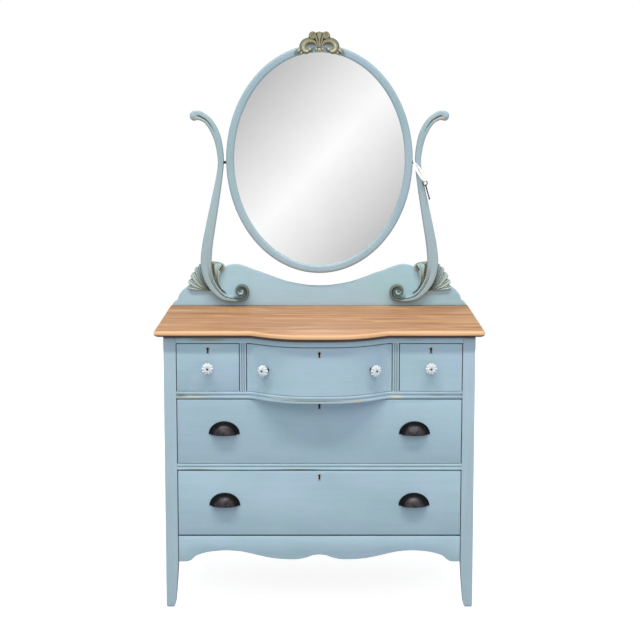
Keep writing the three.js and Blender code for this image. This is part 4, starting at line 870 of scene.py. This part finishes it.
def standard_line(way):
    """The (x, z, width, height) points of a standard."""
    arm = [(way * (VOLUTE_X + across * ARM_REACH), STANDARD_FOOT + up * ARM_HEIGHT, width * ARM_WIDTH,
            ARM_DEPTH) for across, up, width in ARM_SHARES]
    coil = []
    for i in range(COIL_STEPS + 1):
        share = i / COIL_STEPS
        angle = 2 * math.pi * COIL_TURNS * share
        radius = COIL_RADIUS + (BUD_RADIUS - COIL_RADIUS) * share
        coil.append((way * (VOLUTE_X + 0.0224 - radius * math.sin(angle)),
                     STANDARD_FOOT + COIL_RADIUS - radius * math.cos(angle),
                     ARM_WIDTH * (0.34 - 0.17 * share), ARM_DEPTH * (1 - 0.45 * share)))
    return arm + coil


def standard_section(way):
    """A bar with eased shoulders, a pair of grooves by its inner edge, and another pair round the tip."""
    def shares(run):
        groove = part_way(run, 0.38, 0.08) * (1 - part_way(run, 0.7, 0.1))
        tip = 1 - part_way(run, 0.1, 0.1)
        section = [(-0.5, 0), (-0.5, 0.35), (-0.5, 0.7), (-0.48, 0.82), (-0.43, 0.91), (-0.36, 0.965)]
        for across in (-0.28, -0.2, -0.13, -0.06, 0.01, 0.06, 0.11, 0.16, 0.2, 0.24, 0.28, 0.32, 0.36, 0.4):
            cut = sum(depth * max(0, 1 - abs(across - place) / wide) for place, wide, depth in
                      ((0.16, 0.08, 0.15 * groove), (0.32, 0.08, 0.15 * groove),
                       (-0.06, 0.1, 0.36 * tip), (-0.36, 0.08, 0.2 * tip)))
            section.append((across, 1 - 0.25 * across ** 2 - cut))
        section += [(0.45, 0.9), (0.48, 0.82), (0.5, 0.7), (0.5, 0.35), (0.5, 0)]
        return [(way * across, forward) for across, forward in section]
    return shares


for side, way in pair():
    bm = bmesh.new()
    line = standard_line(way)
    strip(bm, line, BOARD, standard_section(way), 220)
    tip, bud = line[0], line[-1]
    ball(bm, (tip[0], PIVOT.y, tip[1]), TIP_SCROLL_SIZE, 36, 20)
    ball(bm, (bud[0], BOARD - 0.008, bud[1]), BUD_SIZE, 28, 16)
    dressed(f"standard_{side}", bm, "case", PAINT_STAND, sharp=1.1)


# Leaf carvings

LEAF_X = VOLUTE_X + 0.077
LEAF_Z = TOP + 0.047
LEAF_SIZE = (0.143, 0.113)
LEAF_PLATE_SHARES = [
    (0.02, 0), (0.12, 0.13), (0.19, 0.3), (0.2, 0.46), (0.13, 0.62), (0.03, 0.77), (0.02, 0.87), (0.09, 0.95),
    (0.2, 0.985), (0.3, 1), (0.42, 0.97), (0.53, 0.955), (0.61, 0.88), (0.68, 0.79), (0.74, 0.69), (0.8, 0.53),
    (0.85, 0.37), (0.87, 0.22), (0.84, 0.12), (0.72, 0.09), (0.55, 0.05), (0.4, 0),
]
ROUND_SHARES = [(0.5 * -math.cos(math.pi * k / 12), math.sin(math.pi * k / 12) ** 0.8) for k in range(13)]
FOLDED_SHARES = [(-0.5, 0), (-0.47, 0.5), (-0.38, 0.85), (-0.27, 1), (-0.16, 0.86), (-0.05, 0.68), (0, 0.64),
                 (0.05, 0.68), (0.16, 0.86), (0.27, 1), (0.38, 0.85), (0.47, 0.5), (0.5, 0)]
# Outer lobes: the place of the tip, the bend and the width; then the shares of the way to the root, of
# the bend, of the width and of the height along a lobe
OUTER_LOBES = [
    ((0.925, 0.19), 0, 0.0165), ((0.9, 0.385), 0.03, 0.0215), ((0.815, 0.61), 0.05, 0.0245),
    ((0.72, 0.79), 0.05, 0.02), ((0.625, 0.895), 0.04, 0.018),
]
LOBE_SHARES = (
    (-0.04, 0, 0.08, 0.3), (-0.03, 0, 0.44, 0.5), (-0.005, 0.02, 0.72, 0.7), (0.05, 0.15, 0.92, 0.88),
    (0.14, 0.45, 1, 1), (0.45, 1, 0.72, 0.9), (0.75, 0.7, 0.42, 0.75), (1, 0, 0.24, 0.55),
)
LEAF_ROOT = (0.38, 0.07)
INNER_WIDTH, INNER_HEIGHT = 0.021, 0.011
# Inner lobes: the place and the shares of width and height along each
INNER_LOBES = [
    [(0.315, 0.9, 0.3, 0.5), (0.308, 0.8, 0.5, 0.75), (0.302, 0.637, 0.62, 0.85), (0.282, 0.46, 0.66, 0.85),
     (0.23, 0.283, 0.55, 0.8), (0.155, 0.15, 0.42, 0.7), (0.06, 0.03, 0.3, 0.5)],
    [(0.2, 0.95, 0.8, 0.5), (0.192, 0.87, 1.5, 0.8), (0.196, 0.77, 1.4, 0.95), (0.207, 0.56, 0.92, 1),
     (0.212, 0.4, 0.64, 0.95), (0.17, 0.26, 0.46, 0.85), (0.1, 0.12, 0.36, 0.7), (0, 0.02, 0.3, 0.5)],
    [(0.075, 0.86, 0.25, 0.9), (0.1, 0.82, 0.5, 1.15), (0.135, 0.75, 0.42, 1.1), (0.16, 0.68, 0.15, 0.8)],
]


def leaf(side, way):
    bm = bmesh.new()

    def at(across, up):
        return way * (LEAF_X + across * LEAF_SIZE[0]), LEAF_Z + up * LEAF_SIZE[1]

    plate(bm, through([at(*share) for share in LEAF_PLATE_SHARES], 84), BOARD - 0.0003, 0.0047)
    back = BOARD - 0.0025
    for (across, up), bend, width in OUTER_LOBES:
        places = []
        for share, aside, wide, high in LOBE_SHARES:
            x, z = at(across + (LEAF_ROOT[0] - across) * share + aside * bend,
                      up + (LEAF_ROOT[1] - up) * share - aside * bend)
            places.append((x, z, wide * width, high * (0.006 + 0.005 * up)))
        strip(bm, places, back, FOLDED_SHARES, 42)
    for lobe in INNER_LOBES:
        places = [(*at(u, v), w * INNER_WIDTH, h * INNER_HEIGHT) for u, v, w, h in lobe]
        strip(bm, places, back, FOLDED_SHARES, 30)
    dressed(f"leaf_carving_{side}", bm, "case", LEAF_FINISH)


for side, way in pair():
    leaf(side, way)


# Mirror

def oval(inset, y):
    """The mirror's outline at this y, drawn in by inset."""
    points = []
    for angle in around(160):
        out = Vector((math.cos(angle) / MIRROR_HALF[0], math.sin(angle) / MIRROR_HALF[1])).normalized()
        points.append((MIRROR_HALF[0] * math.cos(angle) - out.x * inset, y,
                       MIRROR_MIDDLE + MIRROR_HALF[1] * math.sin(angle) - out.y * inset))
    return points


def oval_piece(node, layers, material, closed=False):
    """Drawn through (inset, y) layers."""
    bm = bmesh.new()
    skin(bm, [oval(inset, y) for inset, y in layers], closed=closed)
    dressed(node, bm, "mirror", material)


MOULDING = [(p.x * MOULDING_WIDTH, BOARD - p.y * MOULDING_DEPTH) for p in through(
    [(0, 0.62), (0.07, 0.9), (0.24, 1), (0.55, 1), (0.84, 0.96), (1, 0.82)], 20)]
REBATE_INSET, REBATE_DEPTH, GLASS_INSET = 0.021, 0.0096, 0.0218
REBATE = [(MOULDING_WIDTH, BOARD - REBATE_DEPTH), (REBATE_INSET, BOARD - REBATE_DEPTH), (REBATE_INSET, BOARD)]
oval_piece("mirror_frame", [(0, BOARD), *MOULDING, *REBATE], PAINT_FRAME, closed=True)
oval_piece("mirror_glass", [(GLASS_INSET, BOARD - 0.0043), (GLASS_INSET, BOARD - 0.0089),
                            (GLASS_INSET + 0.0004, BOARD - 0.0093)], SILVER)
oval_piece("mirror_backing", [(GLASS_INSET, BOARD), (GLASS_INSET, BOARD - 0.004)], BARE)

PIVOT_PROFILE = in_mm(
    (0, -15), (2.4, -14.5), (3, -14), (3, 0.6), (4.9, 0.6), (5.5, 1.2), (5.5, 3), (4.6, 3.6), (4.6, 5.2),
    (5.5, 5.8), (5.5, 7.7), (4.9, 8.3), (3, 8.3), (3, 19.5), (0, 20.5),
)
for side, way in pair():
    bm = bmesh.new()
    place = Matrix.Translation((way * PIVOT.x, PIVOT.y, PIVOT.z)) @ Matrix.Rotation(way * math.pi / 2, 4, "Y")
    turned(bm, PIVOT_PROFILE, 32, place)
    dressed(f"pivot_screw_{side}", bm, "case", BRASS)


# Crest carving

CREST_HALF, CREST_TALL, CREST_RISE, BEAD_DEPTH = 0.09, 0.083, 0.044, 0.01
CREST_Z = MIRROR_TOP + CREST_RISE - CREST_TALL
CREST_BACK = BOARD - MOULDING_DEPTH - 0.0003
CREST_PLATE = [
    (0.98, 0.02), (0.9, 0.16), (0.76, 0.32), (0.73, 0.48), (0.62, 0.66),
    (0.42, 0.76), (0.41, 0.87), (0.32, 0.97), (0.16, 0.95), (0, 1),
]
CREST_LOWER = [
    (0, 0.2), (0.12, 0.24), (0.2, 0.36), (0.3, 0.28), (0.38, 0.14), (0.56, 0.1), (0.72, 0.06), (0.86, 0.02),
]
CREST_BEADS = [
    [(0.08, 0.4, 0.08, 0.6), (0.16, 0.56, 0.12, 0.9), (0.3, 0.63, 0.17, 1.1), (0.46, 0.63, 0.21, 1.2),
     (0.6, 0.53, 0.23, 1.2), (0.66, 0.38, 0.23, 1.2), (0.63, 0.24, 0.21, 1.1), (0.53, 0.165, 0.18, 1),
     (0.42, 0.18, 0.14, 0.9)],
    [(0.13, 0.86, 0.12, 0.8), (0.11, 0.7, 0.12, 1), (0.06, 0.52, 0.09, 0.9), (0.025, 0.36, 0.05, 0.7)],
    [(0.7, 0.3, 0.1, 0.7), (0.82, 0.2, 0.17, 1), (0.95, 0.06, 0.1, 0.6)],
    [(0.64, 0.2, 0.08, 0.7), (0.72, 0.11, 0.12, 0.9), (0.79, 0.04, 0.07, 0.6)],
]
CREST_MIDDLE = [(0, 0.97, 0.16, 0.7), (0, 0.88, 0.22, 1), (0, 0.66, 0.13, 0.9), (0, 0.36, 0.06, 0.7)]
CREST_BUDS = [(0.35, 0.24, 0.09, 1.1), (0.1, 0.27, 0.065, 0.9)]
CREST_DROP = (0, 0.24, 0.09, 1.1)
CREST_EYE = (0.255, 0.84, 0.15, 1.05)
EYE_PROFILE = [(0, 0), (1, 0), (1, 0.5), (0.94, 0.78), (0.8, 0.95), (0.62, 0.98), (0.48, 0.86), (0.37, 0.8),
               (0.26, 0.88), (0.13, 0.95), (0, 0.97)]


def crest():
    """A cut plate with scrolls, a palmette and buds on it."""
    bm = bmesh.new()
    lower, upper = through(CREST_LOWER[::-1], 28)[::-1], through(CREST_PLATE[::-1], 40)[::-1]
    half = [p.xy for p in lower + upper]
    outline = half + [Vector((-p.x, p.y)) for p in reversed(half[1:-1])]
    plate(bm, [(p.x * CREST_HALF, CREST_Z + p.y * CREST_TALL) for p in outline], CREST_BACK, 0.006)
    back = CREST_BACK - 0.003

    def at(way, u, v, w, h):
        return way * u * CREST_HALF, CREST_Z + v * CREST_TALL, w * CREST_HALF, h * BEAD_DEPTH

    for _, way in pair():
        for bead in CREST_BEADS:
            strip(bm, [at(way, *p) for p in bead], back, ROUND_SHARES, 10 * len(bead))
        for bud in CREST_BUDS:
            x, z, wide, deep = at(way, *bud)
            dome(bm, x, z, back, wide, deep)
        x, z, wide, deep = at(way, *CREST_EYE)
        turned(bm, [(radius * wide, height * deep) for radius, height in EYE_PROFILE], 32,
               Matrix.Translation((x, back, z)) @ FORWARD)
    strip(bm, [at(1, *p) for p in CREST_MIDDLE], back, ROUND_SHARES, 30)
    x, z, wide, deep = at(1, *CREST_DROP)
    dome(bm, x, z, back, wide, deep)
    dressed("crest_carving", bm, "mirror", CREST_FINISH)


crest()


# Floor, world and light

def floor():
    bm = bmesh.new()
    bmesh.ops.create_grid(bm, x_segments=1, y_segments=1, size=4)
    mesh = bpy.data.meshes.new("floor")
    bm.to_mesh(mesh)
    bm.free()
    piece = bpy.data.objects.new("floor", mesh)
    scene.collection.objects.link(piece)
    f = Finish("pale_floor", base_color=(0.34, 0.34, 0.34, 1), roughness=0.9, emission_strength=0.86)
    seen = f.node("LightPath", output="Is Camera Ray")
    f.give(emission_color=f.mix(seen, (0, 0, 0), (255, 255, 255)))
    mesh.materials.append(f.material)


floor()

world = bpy.data.worlds.new("studio")
scene.world = world
world.use_nodes = True
sky = Nodes(world.node_tree)


def ray(kind):
    return sky.node("LightPath", output=f"Is {kind} Ray")


outward = sky.node("TexCoord", output="Generated")
out_x, out_z = (sky.node("SeparateXYZ", {}, {0: outward}, axis) for axis in "XZ")
# The mirror shows a bright band from its lower left to its upper right, and darkens on both sides of it.
beside_band = out_x * 3.51 - out_z * 3.14 - 0.2
band = sky.node("MapRange", {}, {0: beside_band.off(0), 1: 0, 2: 0.34, 3: 1, 4: 0.53})
# Soft light comes more from the level than from above.
ambient = 0.81 - out_z * 0.2
glossy = sky.node("Mix", {"data_type": "FLOAT"}, {0: ray("Glossy"), 2: ambient, 3: band})
direct = sky.maths("MAXIMUM", ray("Camera"), ray("Transmission"))
strength = sky.node("Mix", {"data_type": "FLOAT"}, {0: direct, 2: glossy, 3: 1})
tone = sky.node("Mix", {"data_type": "RGBA"},
                {0: ray("Diffuse"), 6: (1, 1, 1, 1), 7: (0.9, 1, 1.12, 1)}, output=2)
background = sky.tree.nodes["Background"]
sky.feed(background.inputs["Strength"], strength)
sky.feed(background.inputs["Color"], tone)


def light(name, kind, energy, toward, place=(0, 0, 0)):
    """A lamp that shines along toward."""
    data = bpy.data.lights.new(name, kind)
    data.energy = energy
    lamp = bpy.data.objects.new(name, data)
    lamp.location = place
    lamp.rotation_euler = Vector(toward).to_track_quat("-Z", "Y").to_euler()
    scene.collection.objects.link(lamp)
    return data


# A row of ceiling lamps, all at one height: level edges throw a clear shadow and upright ones a soft one.
LAMPS_ASIDE = (-0.9, -0.3, 0.3, 0.9)
for number, across in enumerate(LAMPS_ASIDE):
    sun = light(f"ceiling_lamp_{number}", "SUN", 2.4 / len(LAMPS_ASIDE), (across + 0.1, 1, -2.414))
    sun.color = (1, 0.97, 0.9)
    sun.angle = math.radians(5)

# A soft lamp above the camera lights the upper half a little more than the lower.
soft = light("soft_lamp", "AREA", 26, (0, 3.1, -2.2), (0, -3.1, 2.9))
soft.shape = "RECTANGLE"
soft.size, soft.size_y = 2.4, 1.4

scene.view_settings.view_transform = "Standard"
